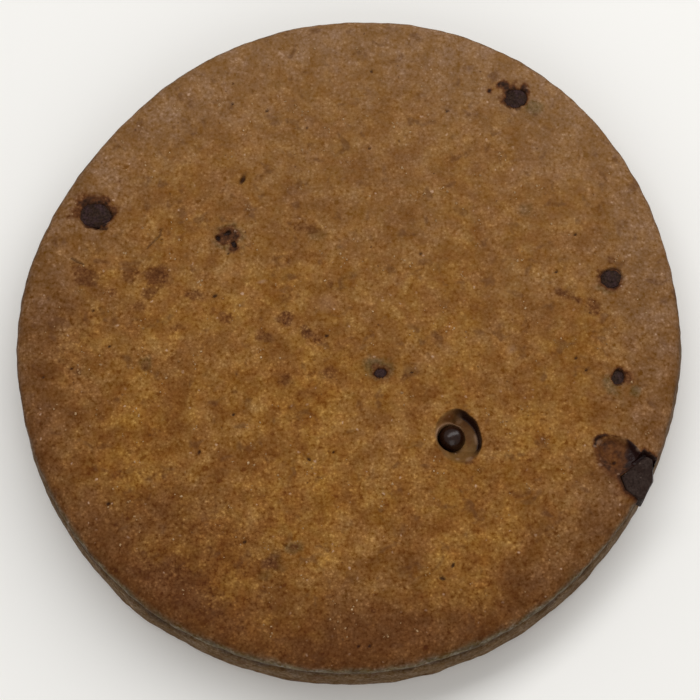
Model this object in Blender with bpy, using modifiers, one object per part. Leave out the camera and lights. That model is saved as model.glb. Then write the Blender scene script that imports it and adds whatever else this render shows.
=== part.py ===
"""A round chocolate chip cookie: one baked dough disc with eight pieces of chocolate set in its top.

Sizes are in metres and +Z is up. The underside lies flat on Z = 0, with the origin under the middle.
The dough is a turned disc that is then pushed to its uneven outline and given a low relief. Each
piece of chocolate sits in a pocket that is cut for it, with a small gap all round.
"""
import math

import bmesh
import bpy
from mathutils import Matrix, Vector, noise

MM = 0.001

# Dough disc
DOUGH_RADIUS = 35.25 * MM
DOUGH_HEIGHT = 9.0 * MM
DOME_DROP = 0.5 * MM
RIM_ARC_WIDTH = 1.7 * MM
RIM_ARC_HEIGHT = 1.3 * MM
SIDE_TOP = 7.2 * MM
SIDE_FOOT = 1.5 * MM
FLARE = 0.25 * MM
GROOVE_HEIGHT = 5.4 * MM
GROOVE_DEPTH = 0.45 * MM
GROOVE_WIDTH = 0.7 * MM
FOOT_ARC_WIDTH = 1.8 * MM
TOP_RINGS = 17
ARC_RINGS = 5
SIDE_RINGS = 9
AROUND = 112
WELD = 0.00001

# Uneven outline: waves round the edge as (lobes, share of the radius, direction of a lobe in degrees)
OUTLINE_WAVES = ((2, 0.0215, 65.0), (3, 0.006, 70.0), (4, 0.003, -4.0), (5, 0.0013, -24.0), (6, 0.002, -8.0))
BASE_BULGE = 0.45 * MM
BASE_BULGE_DIRECTION = 3.0
BASE_BULGE_SPREAD = 11.0
BASE_BULGE_TOP = 5.2 * MM

# Low relief of the crust, as (wavelength, height)
CRUST_WAVES = ((11.0 * MM, 0.16 * MM), (4.5 * MM, 0.07 * MM))

# Chocolate
GAP = 0.28 * MM
CHIP_SEGMENTS = 18
CHIP_RINGS = 11
CHIP_UNEVEN = 0.05

# Chips as name: (x, y, width, depth, thickness, turn in degrees, how far the top stands proud)
CHIPS = {
    "chip_left_edge": (-27.1 * MM, 13.2 * MM, 3.8 * MM, 3.0 * MM, 2.6 * MM, 4.0, 0.10 * MM),
    "chip_upper_left": (-13.0 * MM, 10.4 * MM, 2.8 * MM, 2.4 * MM, 2.3 * MM, -15.0, 0.02 * MM),
    "chip_upper_right": (17.8 * MM, 26.5 * MM, 2.8 * MM, 2.6 * MM, 2.4 * MM, 30.0, 0.12 * MM),
    "chip_right": (27.5 * MM, 6.0 * MM, 2.5 * MM, 2.3 * MM, 2.2 * MM, 10.0, 0.12 * MM),
    "chip_lower_right": (27.8 * MM, -5.0 * MM, 1.9 * MM, 2.1 * MM, 2.0 * MM, 20.0, 0.05 * MM),
    "chip_middle": (3.0 * MM, -4.2 * MM, 1.9 * MM, 1.9 * MM, 2.0 * MM, 0.0, 0.03 * MM),
}

# The round chip that lies in an open hollow
BALL_CENTRE = (10.5 * MM, -11.3 * MM)
BALL_DIAMETER = 2.9 * MM
BALL_TOP_BELOW_CRUST = 0.1 * MM
BALL_HOLLOW_CENTRE = (11.15 * MM, -11.35 * MM)
BALL_HOLLOW_SIZE = (4.7 * MM, 5.9 * MM)
BALL_HOLLOW_DEPTH = 1.7 * MM
BALL_HOLLOW_TURN = 16.0

# The broken chunk at the edge and the scoop beside it
CHUNK_DIRECTION = -27.2
CHUNK_FROM_MIDDLE = 33.4 * MM
CHUNK_SIZE = (3.4 * MM, 4.4 * MM, 3.4 * MM)
CHUNK_TOP_BELOW_CRUST = 0.15 * MM
CHUNK_BEVEL = 0.2 * MM
SCOOP_CENTRE = (27.9 * MM, -13.6 * MM)
SCOOP_SIZE = (6.8 * MM, 4.3 * MM)
SCOOP_DEPTH = 1.1 * MM
SCOOP_TURN = -45.0

# Colours, as linear red, green and blue
DOUGH_COLOUR = (0.187, 0.087, 0.028)
CHOCOLATE_COLOUR = (0.024, 0.013, 0.011)


def clear_scene():
    """Remove every object that the opened scene holds."""
    for item in list(bpy.data.objects):
        bpy.data.objects.remove(item, do_unlink=True)


def new_collection(name):
    """Make a collection in the scene and return it."""
    collection = bpy.data.collections.new(name)
    bpy.context.scene.collection.children.link(collection)
    return collection


def new_material(name, colour, roughness):
    """Make a plain material of one colour and return it."""
    material = bpy.data.materials.new(name)
    material.use_nodes = True
    shader = material.node_tree.nodes["Principled BSDF"]
    shader.inputs["Base Color"].default_value = (*colour, 1.0)
    shader.inputs["Roughness"].default_value = roughness
    shader.inputs["Metallic"].default_value = 0.0
    material.diffuse_color = (*colour, 1.0)
    return material


def outline_scale(angle):
    """Return how far the edge lies from the middle at this angle, as a share of the mean radius."""
    return 1.0 + sum(share * math.cos(lobes * (angle - math.radians(turn)))
                     for lobes, share, turn in OUTLINE_WAVES)


def base_bulge(angle, height):
    """Return how far the lower side bulges out where the cookie spread most on its tray."""
    turn = angle - math.radians(BASE_BULGE_DIRECTION)
    away = math.degrees(math.atan2(math.sin(turn), math.cos(turn)))
    along = math.exp(-(away / BASE_BULGE_SPREAD) ** 2)
    upward = max(0.0, math.sin(math.pi * min(1.0, height / BASE_BULGE_TOP)))
    return BASE_BULGE * along * upward


def relief(x, y, z):
    """Return the height of the crust's low waves at a place on its surface."""
    return sum(height * noise.noise(Vector((x, y, z)) / wavelength)
               for wavelength, height in CRUST_WAVES)


def dome_height(radius):
    """Return the height of the plain top, without relief, at this distance from the middle."""
    return DOUGH_HEIGHT - DOME_DROP * (radius / (DOUGH_RADIUS - RIM_ARC_WIDTH)) ** 2


def crust_height(x, y):
    """Return the height of the top crust, with its relief, at a place inside the rim."""
    flat_radius = math.hypot(x, y) / outline_scale(math.atan2(y, x))
    plain = dome_height(flat_radius)
    return plain + relief(x, y, plain)


def side_radius(height):
    """Return the radius of the side, which has a lip, a shallow groove and a fuller base."""
    down = (SIDE_TOP - height) / (SIDE_TOP - SIDE_FOOT)
    groove = GROOVE_DEPTH * math.exp(-((height - GROOVE_HEIGHT) / GROOVE_WIDTH) ** 2)
    return DOUGH_RADIUS + FLARE * down - groove


def dough_profile():
    """Return the dough's outline at +X, from the middle of the top down its side to the underside."""
    rim_start = DOUGH_RADIUS - RIM_ARC_WIDTH
    points = []
    for ring in range(TOP_RINGS):
        radius = rim_start * ring / (TOP_RINGS - 1)
        points.append((radius, dome_height(radius)))
    arc_base = dome_height(rim_start) - RIM_ARC_HEIGHT
    for step in range(1, ARC_RINGS + 1):
        swing = math.radians(90.0) * step / ARC_RINGS
        points.append((rim_start + RIM_ARC_WIDTH * math.sin(swing),
                       arc_base + RIM_ARC_HEIGHT * math.cos(swing)))
    for step in range(1, SIDE_RINGS + 1):
        height = arc_base + (SIDE_FOOT - arc_base) * step / SIDE_RINGS
        points.append((side_radius(height), height))
    foot_start = side_radius(SIDE_FOOT) - FOOT_ARC_WIDTH
    for step in range(1, ARC_RINGS + 1):
        swing = math.radians(90.0) * step / ARC_RINGS
        points.append((foot_start + FOOT_ARC_WIDTH * math.cos(swing),
                       SIDE_FOOT * (1.0 - math.sin(swing))))
    points.append((0.5 * foot_start, 0.0))
    points.append((0.0, 0.0))
    return points


def apply_modifiers(item):
    """Turn the object's modifiers into plain mesh."""
    bpy.context.view_layer.update()
    depsgraph = bpy.context.evaluated_depsgraph_get()
    shaped = bpy.data.meshes.new_from_object(item.evaluated_get(depsgraph))
    item.modifiers.clear()
    item.data = shaped


def turned_solid(name, points, collection):
    """Turn an outline about the Z axis into a closed solid and return its object."""
    mesh = bpy.data.meshes.new(name)
    mesh.from_pydata([(x, 0.0, z) for x, z in points],
                     [(i, i + 1) for i in range(len(points) - 1)], [])
    item = bpy.data.objects.new(name, mesh)
    collection.objects.link(item)
    screw = item.modifiers.new("Turn", "SCREW")
    screw.axis = "Z"
    screw.angle = math.radians(360.0)
    screw.steps = AROUND
    screw.render_steps = AROUND
    screw.use_merge_vertices = True
    screw.merge_threshold = WELD
    screw.use_normal_calculate = True
    apply_modifiers(item)
    return item


def push_to_outline(item):
    """Give the turned dough its uneven outline, its bulge and its low relief."""
    for vertex in item.data.vertices:
        place = vertex.co
        angle = math.atan2(place.y, place.x)
        radius = math.hypot(place.x, place.y)
        height = place.z
        scale = outline_scale(angle)
        edge_share = max(0.0, (radius - 0.9 * DOUGH_RADIUS) / (0.1 * DOUGH_RADIUS))
        reach = radius * scale + base_bulge(angle, height) * min(1.0, edge_share)
        place.x = reach * math.cos(angle)
        place.y = reach * math.sin(angle)
        if height > SIDE_TOP - RIM_ARC_HEIGHT:
            place.z = height + relief(place.x, place.y, height)
        elif height > WELD:
            swell = 1.0 + relief(place.x, place.y, height) / DOUGH_RADIUS
            place.x *= swell
            place.y *= swell


def chip_mesh(name, width, depth, thickness, swell):
    """Make a chip's rounded, slightly uneven mesh, swollen by this much on every side."""
    mesh = bpy.data.meshes.new(name)
    shape = bmesh.new()
    bmesh.ops.create_uvsphere(shape, u_segments=CHIP_SEGMENTS, v_segments=CHIP_RINGS, radius=1.0)
    for vertex in shape.verts:
        uneven = 1.0 + CHIP_UNEVEN * noise.noise(vertex.co * 1.5 + Vector((width, depth, 0.0)) / MM)
        vertex.co.x *= uneven * (0.5 * width) + swell
        vertex.co.y *= uneven * (0.5 * depth) + swell
        vertex.co.z *= uneven * (0.5 * thickness) + swell
    shape.to_mesh(mesh)
    shape.free()
    return mesh


def scoop_mesh(name, width, depth, drop):
    """Make the smooth round-bottomed mesh that cuts an open hollow."""
    return chip_mesh(name, width, depth, 2.0 * drop, 0.0)


def chunk_mesh(name, size, bevel, swell):
    """Make a broken, flat-topped block: a box with three corners knocked off and its edges worn."""
    width, depth, thickness = (length + 2.0 * swell for length in size)
    mesh = bpy.data.meshes.new(name)
    shape = bmesh.new()
    bmesh.ops.create_cube(shape, size=1.0)
    bmesh.ops.scale(shape, vec=(width, depth, thickness), verts=shape.verts)
    knocks = (
        (Vector((0.38 * width, 0.31 * depth, 0.0)), Vector((0.89, 0.44, 0.12))),
        (Vector((-0.32 * width, -0.37 * depth, 0.0)), Vector((-0.66, -0.74, 0.10))),
        (Vector((-0.29 * width, 0.13 * depth, 0.0)), Vector((-0.91, 0.41, 0.10))),
    )
    for place, facing in knocks:
        cut = bmesh.ops.bisect_plane(shape, geom=shape.verts[:] + shape.edges[:] + shape.faces[:],
                                     plane_co=place, plane_no=facing, clear_outer=True)
        rim = [piece for piece in cut["geom_cut"] if isinstance(piece, bmesh.types.BMEdge)]
        bmesh.ops.edgeloop_fill(shape, edges=rim)
    bmesh.ops.recalc_face_normals(shape, faces=shape.faces)
    bmesh.ops.bevel(shape, geom=shape.edges[:], offset=bevel, segments=2, profile=0.5,
                    affect="EDGES")
    bmesh.ops.recalc_face_normals(shape, faces=shape.faces)
    shape.to_mesh(mesh)
    shape.free()
    return mesh


def place_mesh(name, mesh, collection, where, turn):
    """Link a mesh as an object at this place, turned about the vertical, and return it."""
    item = bpy.data.objects.new(name, mesh)
    collection.objects.link(item)
    item.matrix_world = Matrix.Translation(where) @ Matrix.Rotation(math.radians(turn), 4, "Z")
    return item


def cut_with(item, cutter):
    """Cut one closed shape out of an object and hide the cutter."""
    cutter.display_type = "WIRE"
    cutter.hide_render = True
    boolean = item.modifiers.new(cutter.name, "BOOLEAN")
    boolean.operation = "DIFFERENCE"
    boolean.solver = "EXACT"
    boolean.object = cutter


def smooth(item, sharp_degrees):
    """Shade the object smooth, with its sharper edges kept."""
    bpy.ops.object.select_all(action="DESELECT")
    bpy.context.view_layer.objects.active = item
    item.select_set(True)
    bpy.ops.object.shade_smooth()
    item.data.set_sharp_from_angle(angle=math.radians(sharp_degrees))


def make_chips(dough, parts, cutters, chocolate):
    """Set the six chips that lie in the crust, each in its own pocket."""
    for name, (x, y, width, depth, thickness, turn, proud) in CHIPS.items():
        where = Vector((x, y, crust_height(x, y) + proud - 0.5 * thickness))
        chip = place_mesh(name, chip_mesh(name, width, depth, thickness, 0.0), parts, where, turn)
        chip.data.materials.append(chocolate)
        pocket = chip_mesh(name + "_pocket", width, depth, thickness, GAP)
        cut_with(dough, place_mesh(name + "_pocket", pocket, cutters, where, turn))
        smooth(chip, 50.0)


def make_ball(dough, parts, cutters, chocolate):
    """Set the round chip in its open hollow."""
    x, y = BALL_HOLLOW_CENTRE
    scoop = scoop_mesh("ball_hollow", *BALL_HOLLOW_SIZE, BALL_HOLLOW_DEPTH)
    where = Vector((x, y, crust_height(x, y)))
    cut_with(dough, place_mesh("ball_hollow", scoop, cutters, where, BALL_HOLLOW_TURN))
    x, y = BALL_CENTRE
    where = Vector((x, y, crust_height(x, y) - BALL_TOP_BELOW_CRUST - 0.5 * BALL_DIAMETER))
    size = (BALL_DIAMETER, BALL_DIAMETER, BALL_DIAMETER)
    ball = place_mesh("chip_round", chip_mesh("chip_round", *size, 0.0), parts, where, 0.0)
    ball.data.materials.append(chocolate)
    pocket = chip_mesh("chip_round_pocket", *size, GAP)
    cut_with(dough, place_mesh("chip_round_pocket", pocket, cutters, where, 0.0))
    smooth(ball, 50.0)


def make_chunk(dough, parts, cutters, chocolate):
    """Set the broken chunk in the edge of the dough, with the scoop that the dough left beside it."""
    x, y = SCOOP_CENTRE
    scoop = scoop_mesh("chunk_scoop", *SCOOP_SIZE, SCOOP_DEPTH)
    where = Vector((x, y, crust_height(x, y)))
    cut_with(dough, place_mesh("chunk_scoop", scoop, cutters, where, SCOOP_TURN))
    bearing = math.radians(CHUNK_DIRECTION)
    x = CHUNK_FROM_MIDDLE * math.cos(bearing)
    y = CHUNK_FROM_MIDDLE * math.sin(bearing)
    middle = crust_height(x, y) - CHUNK_TOP_BELOW_CRUST - 0.5 * CHUNK_SIZE[2]
    where = Vector((x, y, middle))
    chunk = place_mesh("chunk_edge", chunk_mesh("chunk_edge", CHUNK_SIZE, CHUNK_BEVEL, 0.0),
                       parts, where, CHUNK_DIRECTION)
    chunk.data.materials.append(chocolate)
    pocket = chunk_mesh("chunk_pocket", CHUNK_SIZE, CHUNK_BEVEL, GAP)
    cut_with(dough, place_mesh("chunk_pocket", pocket, cutters, where, CHUNK_DIRECTION))
    smooth(chunk, 35.0)


def main():
    """Build the cookie."""
    clear_scene()
    parts = new_collection("chocolate_chip_cookie")
    cutters = new_collection("cutters")
    baked_dough = new_material("baked_dough", DOUGH_COLOUR, 0.72)
    chocolate = new_material("dark_chocolate", CHOCOLATE_COLOUR, 0.38)

    dough = turned_solid("dough", dough_profile(), parts)
    push_to_outline(dough)
    dough.data.materials.append(baked_dough)
    make_chips(dough, parts, cutters, chocolate)
    make_ball(dough, parts, cutters, chocolate)
    make_chunk(dough, parts, cutters, chocolate)
    apply_modifiers(dough)
    smooth(dough, 40.0)


main()
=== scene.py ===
"""Looks of a round chocolate chip cookie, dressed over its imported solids.

The baked dough is one fine mesh, worked out from the same named sizes as the solid that it stands
for, with hollows, seats, pores and cracks as real relief. Each piece of chocolate is a mesh of its
own that takes its place and size from the frame. Lengths are in metres, with +Z up, except where
a name, a docstring or a comment says millimetres; the shaders work in millimetres too.
"""

import logging
import math
import random
from dataclasses import dataclass, field
from enum import Enum

import bmesh
import bpy
import numpy as np
from mathutils import Matrix, Vector, noise


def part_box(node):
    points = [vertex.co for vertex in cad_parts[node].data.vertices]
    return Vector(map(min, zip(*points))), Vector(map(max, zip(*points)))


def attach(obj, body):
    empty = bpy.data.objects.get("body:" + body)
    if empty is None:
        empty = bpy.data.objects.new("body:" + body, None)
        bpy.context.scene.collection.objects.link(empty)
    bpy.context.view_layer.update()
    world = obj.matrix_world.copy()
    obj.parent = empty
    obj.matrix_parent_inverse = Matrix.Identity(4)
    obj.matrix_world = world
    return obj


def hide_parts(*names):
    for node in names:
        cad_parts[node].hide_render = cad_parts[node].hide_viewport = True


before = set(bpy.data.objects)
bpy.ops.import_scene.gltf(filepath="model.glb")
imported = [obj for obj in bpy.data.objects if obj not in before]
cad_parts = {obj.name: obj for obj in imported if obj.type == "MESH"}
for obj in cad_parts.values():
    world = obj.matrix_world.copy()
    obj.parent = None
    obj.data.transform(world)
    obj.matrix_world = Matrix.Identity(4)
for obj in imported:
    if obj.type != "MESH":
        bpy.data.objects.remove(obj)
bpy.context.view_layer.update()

MM = 0.001
BODY = "root"
log = logging.getLogger("cookie")

Colour = tuple[float, float, float, float]


class Slot(Enum):
    """The record's material slots."""

    DOUGH = "baked_dough"
    CHOCOLATE = "dark_chocolate"


class Mask(Enum):
    """Per-point masks that the dough's mesh hands to its finish."""

    SKIRT = "skirt"
    UNDERSIDE = "underside"
    # Stains; the deepest also stand in as painted shade in the gap beside the left edge chip.
    STAIN_AND_SHADE = "stain_and_shade"
    ASH = "ash"
    # Chocolate lining, and painted shade on hollow walls that face away from the light and in the
    # chunk's crevice.
    RESIDUE_AND_SHADE = "residue_and_shade"
    # Painted shade in pores, cracks and crevices and round the round chip's lower left edge.
    PIT_SHADE = "pit_shade"
    # Pale spots, and painted glints on the round chip's hollow wall and in the scoop.
    PALE_AND_GLINT = "pale"
    SMOOTH = "smooth"


def srgb(red: int, green: int, blue: int) -> Colour:
    """Turn a screen colour into the linear colour that shaders take.

    Args:
        red: Red from 0 to 255.
        green: Green from 0 to 255.
        blue: Blue from 0 to 255.

    Returns:
        Linear red, green and blue with an alpha of 1.
    """
    def linear(value: int) -> float:
        """Linear value of one channel."""
        share = value / 255.0
        return share / 12.92 if share <= 0.04045 else ((share + 0.055) / 1.055) ** 2.4

    return linear(red), linear(green), linear(blue), 1.0


def smooth_step(low: float | np.ndarray, high: float, value: np.ndarray) -> np.ndarray:
    """Rise smoothly from 0 at low to 1 at high.

    Args:
        low: Value where the step starts.
        high: Value where the step ends.
        value: Values to map.

    Returns:
        Shares from 0 to 1.
    """
    share = np.clip((value - low) / (high - low), 0.0, 1.0)
    return share * share * (3.0 - 2.0 * share)


def fade(low: float | np.ndarray, high: float, value: np.ndarray) -> np.ndarray:
    """Fall smoothly from 1 at low to 0 at high, the other way round from smooth_step."""
    return 1.0 - smooth_step(low, high, value)


def band(value: np.ndarray, middle: float, width: float) -> np.ndarray:
    """Rise to 1 where a value meets the band's middle, and fall off softly to both sides."""
    return np.exp(-((value - middle) / width) ** 2)


def noise_at(places: np.ndarray, wavelength: float, shift: float = 0.0) -> np.ndarray:
    """Sample smooth noise.

    Args:
        places: Points, one row each, in metres.
        wavelength: Size of one wave, in metres.
        shift: Moves the pattern, to get an unrelated one.

    Returns:
        One value from about -1 to 1 for each point.
    """
    spots = (places / wavelength + shift).tolist()
    return np.array([noise.noise(spot) for spot in spots])


def bearing_gap(angle: np.ndarray, bearing: float) -> np.ndarray:
    """Angle between directions.

    Args:
        angle: Directions in radians.
        bearing: The direction to compare with, in degrees.

    Returns:
        How far each direction lies from the bearing, in degrees, from 0 to 180.
    """
    turn = angle - math.radians(bearing)
    return np.abs(np.degrees(np.arctan2(np.sin(turn), np.cos(turn))))


@dataclass(frozen=True)
class Oval:
    """An oval spot on the crust, seen from above."""

    x: float
    y: float
    width: float
    depth: float
    turn: float = 0.0

    def local(self, places: np.ndarray) -> tuple[np.ndarray, np.ndarray]:
        """Place points in the oval's own axes.

        Args:
            places: Points, one row each, in metres.

        Returns:
            Their offsets along its width and along its depth, as shares of half of each.
        """
        turn = math.radians(self.turn)
        across, up = places[:, 0] - self.x, places[:, 1] - self.y
        along = across * math.cos(turn) + up * math.sin(turn)
        over = up * math.cos(turn) - across * math.sin(turn)
        return along / (0.5 * self.width), over / (0.5 * self.depth)

    def reach(self, places: np.ndarray) -> np.ndarray:
        """Share of the way from the middle to the edge, for each point."""
        along, over = self.local(places)
        return np.hypot(along, over)

    def bearing(self, places: np.ndarray) -> np.ndarray:
        """Direction in radians from the middle to each point."""
        return np.arctan2(places[:, 1] - self.y, places[:, 0] - self.x)


@dataclass(frozen=True)
class Arc:
    """A soft stretch of a ring, full near one bearing and gone further round; angles in degrees."""

    at: float
    width: float
    bearing: float
    full: float
    gone: float

    def share(self, reach: np.ndarray, bearing: np.ndarray) -> np.ndarray:
        """Work out how much of the arc there is at each point.

        Args:
            reach: How far out each point lies, in the unit of the arc's place and width.
            bearing: Direction of each point from the ring's middle, in radians.

        Returns:
            Shares from 0 to 1.
        """
        gap = bearing_gap(bearing, self.bearing)
        return band(reach, self.at, self.width) * fade(self.full, self.gone, gap)


@dataclass(frozen=True)
class Pore:
    """A small open bubble in the crust."""

    x: float
    y: float
    width: float
    stretch: float = 1.2
    turn: float = 25.0

    def reach(self, places: np.ndarray) -> np.ndarray:
        """Share of the way from the middle to the edge, for each point."""
        oval = Oval(self.x, self.y, self.width * self.stretch, self.width / self.stretch, self.turn)
        return oval.reach(places)


@dataclass(frozen=True)
class Crack:
    """A short bent crack in the crust, along a line of a few points."""

    points: tuple[tuple[float, float], ...]
    width: float = 0.22 * MM
    depth: float = 0.22 * MM
    # Share of painted shade along the crack.
    dark: float = 0.55

    def distance(self, places: np.ndarray) -> np.ndarray:
        """Distance of each point from the crack's line.

        Args:
            places: Points, one row each, in metres.

        Returns:
            Distances in metres.
        """
        nearest = np.full(len(places), 1.0)
        for (x0, y0), (x1, y1) in zip(self.points, self.points[1:]):
            run = np.array([x1 - x0, y1 - y0])
            offset = places[:, :2] - np.array([x0, y0])
            share = np.clip(offset @ run / (run @ run), 0.0, 1.0)
            nearest = np.minimum(nearest, np.hypot(*(offset - share[:, None] * run).T))
        return nearest


@dataclass(frozen=True)
class Wave:
    """One wave round the cookie's edge: its lobes, height as a share, and direction in degrees."""

    lobes: int
    share: float
    direction: float


@dataclass(frozen=True)
class CookieForm:
    """The plain form of the baked disc, with the same sizes as its solid."""

    radius: float = 35.25 * MM
    height: float = 9.0 * MM
    dome_drop: float = 0.5 * MM
    rim_width: float = 1.7 * MM
    rim_height: float = 1.3 * MM
    side_top: float = 7.2 * MM
    side_foot: float = 1.5 * MM
    flare: float = 0.25 * MM
    groove_height: float = 5.4 * MM
    groove_depth: float = 0.45 * MM
    groove_width: float = 0.7 * MM
    foot_width: float = 1.8 * MM
    bulge: float = 0.45 * MM
    bulge_direction: float = 3.0
    bulge_spread: float = 11.0
    bulge_top: float = 5.2 * MM
    waves: tuple[Wave, ...] = (
        Wave(2, 0.0215, 65.0),
        Wave(3, 0.006, 70.0),
        Wave(4, 0.003, -4.0),
        Wave(5, 0.0013, -24.0),
        Wave(6, 0.002, -8.0),
    )
    crust_waves: tuple[tuple[float, float], ...] = ((11.0 * MM, 0.16 * MM), (4.5 * MM, 0.07 * MM))

    @property
    def rim_start(self) -> float:
        """Radius where the top starts to roll over into the side."""
        return self.radius - self.rim_width

    def outline(self, angle: np.ndarray) -> np.ndarray:
        """Distance of the edge from the middle at each angle, as a share of the mean radius."""
        waves = [w.share * np.cos(w.lobes * (angle - math.radians(w.direction))) for w in self.waves]
        return 1.0 + sum(waves)

    def base_bulge(self, angle: np.ndarray, height: np.ndarray) -> np.ndarray:
        """How far the lower side bulges out where the cookie spread most.

        Args:
            angle: Directions in radians.
            height: Heights above the underside.

        Returns:
            Distances outward, in metres.
        """
        along = band(bearing_gap(angle, self.bulge_direction), 0.0, self.bulge_spread)
        upward = np.sin(math.pi * np.clip(height / self.bulge_top, 0.0, 1.0))
        return self.bulge * along * upward

    def relief(self, places: np.ndarray) -> np.ndarray:
        """Height of the crust's low waves at each point."""
        return sum(height * noise_at(places, wavelength) for wavelength, height in self.crust_waves)

    def dome(self, radius: np.ndarray) -> np.ndarray:
        """Height of the plain top at each distance from the middle."""
        return self.height - self.dome_drop * (radius / self.rim_start) ** 2

    def crust(self, places: np.ndarray) -> np.ndarray:
        """Height of the top crust above each point, with its low waves.

        Args:
            places: Points, one row each, in metres; only x and y are read.

        Returns:
            Heights above the underside, in metres.
        """
        angle = np.arctan2(places[:, 1], places[:, 0])
        flat = np.hypot(places[:, 0], places[:, 1]) / self.outline(angle)
        plain = self.dome(flat)
        return plain + self.relief(np.column_stack([places[:, :2], plain]))

    def side(self, height: float) -> float:
        """Radius of the side at a height: a lip, a shallow groove and a fuller base.

        Args:
            height: Height above the underside, in metres.

        Returns:
            The radius, in metres.
        """
        down = (self.side_top - height) / (self.side_top - self.side_foot)
        groove = self.groove_depth * math.exp(-((height - self.groove_height) / self.groove_width) ** 2)
        return self.radius + self.flare * down - groove


def line_mm(*points: tuple[float, float]) -> tuple[tuple[float, float], ...]:
    """Turn a line's points from millimetres into metres."""
    return tuple((x * MM, y * MM) for x, y in points)


# The dough's details, at places measured in the photograph
BALL_HOLLOW = Oval(11.15 * MM, -11.35 * MM, 4.7 * MM, 5.9 * MM, 16.0)
CHUNK_SCOOP = Oval(27.9 * MM, -13.6 * MM, 6.8 * MM, 4.3 * MM, -45.0)
SCOOP_POCKET = Oval(25.85 * MM, -11.85 * MM, 1.7 * MM, 1.3 * MM, 35.0)

# Place and width in millimetres, and for some their stretch and turn
PORES = tuple(Pore(x * MM, y * MM, width * MM, *shape) for x, y, width, *shape in (
    (-11.5, 17.1, 0.82, 1.35, 58.0),
    (-14.3, 4.0, 0.50),
    (-9.0, 25.0, 0.34),
    (-12.7, 25.8, 0.34),
    (-4.7, 23.0, 0.30),
    (-2.5, -0.4, 0.40),
    (-25.3, -1.5, 0.36),
    (-27.1, 2.4, 0.32),
    (10.4, 25.0, 0.40),
    (2.2, 29.6, 0.36),
    (2.0, 20.6, 0.32),
    (21.7, 6.7, 0.42),
    (7.4, 8.7, 0.34),
    (23.8, 10.9, 0.36),
    (-12.2, -9.0, 0.44),
    (-15.7, -13.0, 0.44, 1.4, 70.0),
    (-25.0, -18.4, 0.46),
    (-4.3, -13.8, 0.46, 1.4, -40.0),
    (-1.8, -13.0, 0.34),
    (-10.9, -22.5, 0.44),
    (-29.2, -3.9, 0.36),
    (-32.1, -4.8, 0.34),
    (10.5, -24.9, 0.50, 1.45, 68.0),
    (9.4, -26.3, 0.52, 1.5, -15.0),
    (0.8, -33.3, 0.36),
    (1.9, -33.3, 0.36),
    (23.6, -2.8, 0.36),
    (24.6, -4.1, 0.36),
    (-12.95, 8.7, 0.30),
    (27.3, -13.95, 0.46),
    (6.4, -4.4, 0.32),
))

CRACKS = (
    Crack(line_mm((-21.56, 9.39), (-21.16, 9.84), (-20.65, 10.4), (-20.21, 10.93), (-20.14, 11.5))),
    Crack(line_mm((-29.55, 8.27), (-28.95, 7.88), (-28.24, 7.59))),
    Crack(line_mm((-28.5, 12.72), (-27.5, 12.12), (-26.5, 11.62), (-25.95, 11.6)),
          0.42 * MM, 0.30 * MM, 0.85),
)


@dataclass(frozen=True)
class Blush:
    """A soft oval patch that colours the crust, with its place and size in millimetres."""

    x: float
    y: float
    width: float
    depth: float
    strength: float
    turn: float = 0.0
    mask: Mask = Mask.STAIN_AND_SHADE

    @property
    def oval(self) -> Oval:
        """Its oval, in metres."""
        return Oval(self.x * MM, self.y * MM, self.width * MM, self.depth * MM, self.turn)


# Patches on the crust: stains, grey patches and pale spots; one deep patch also stands in as painted
# shade, and some pale ones are painted glints.
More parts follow.
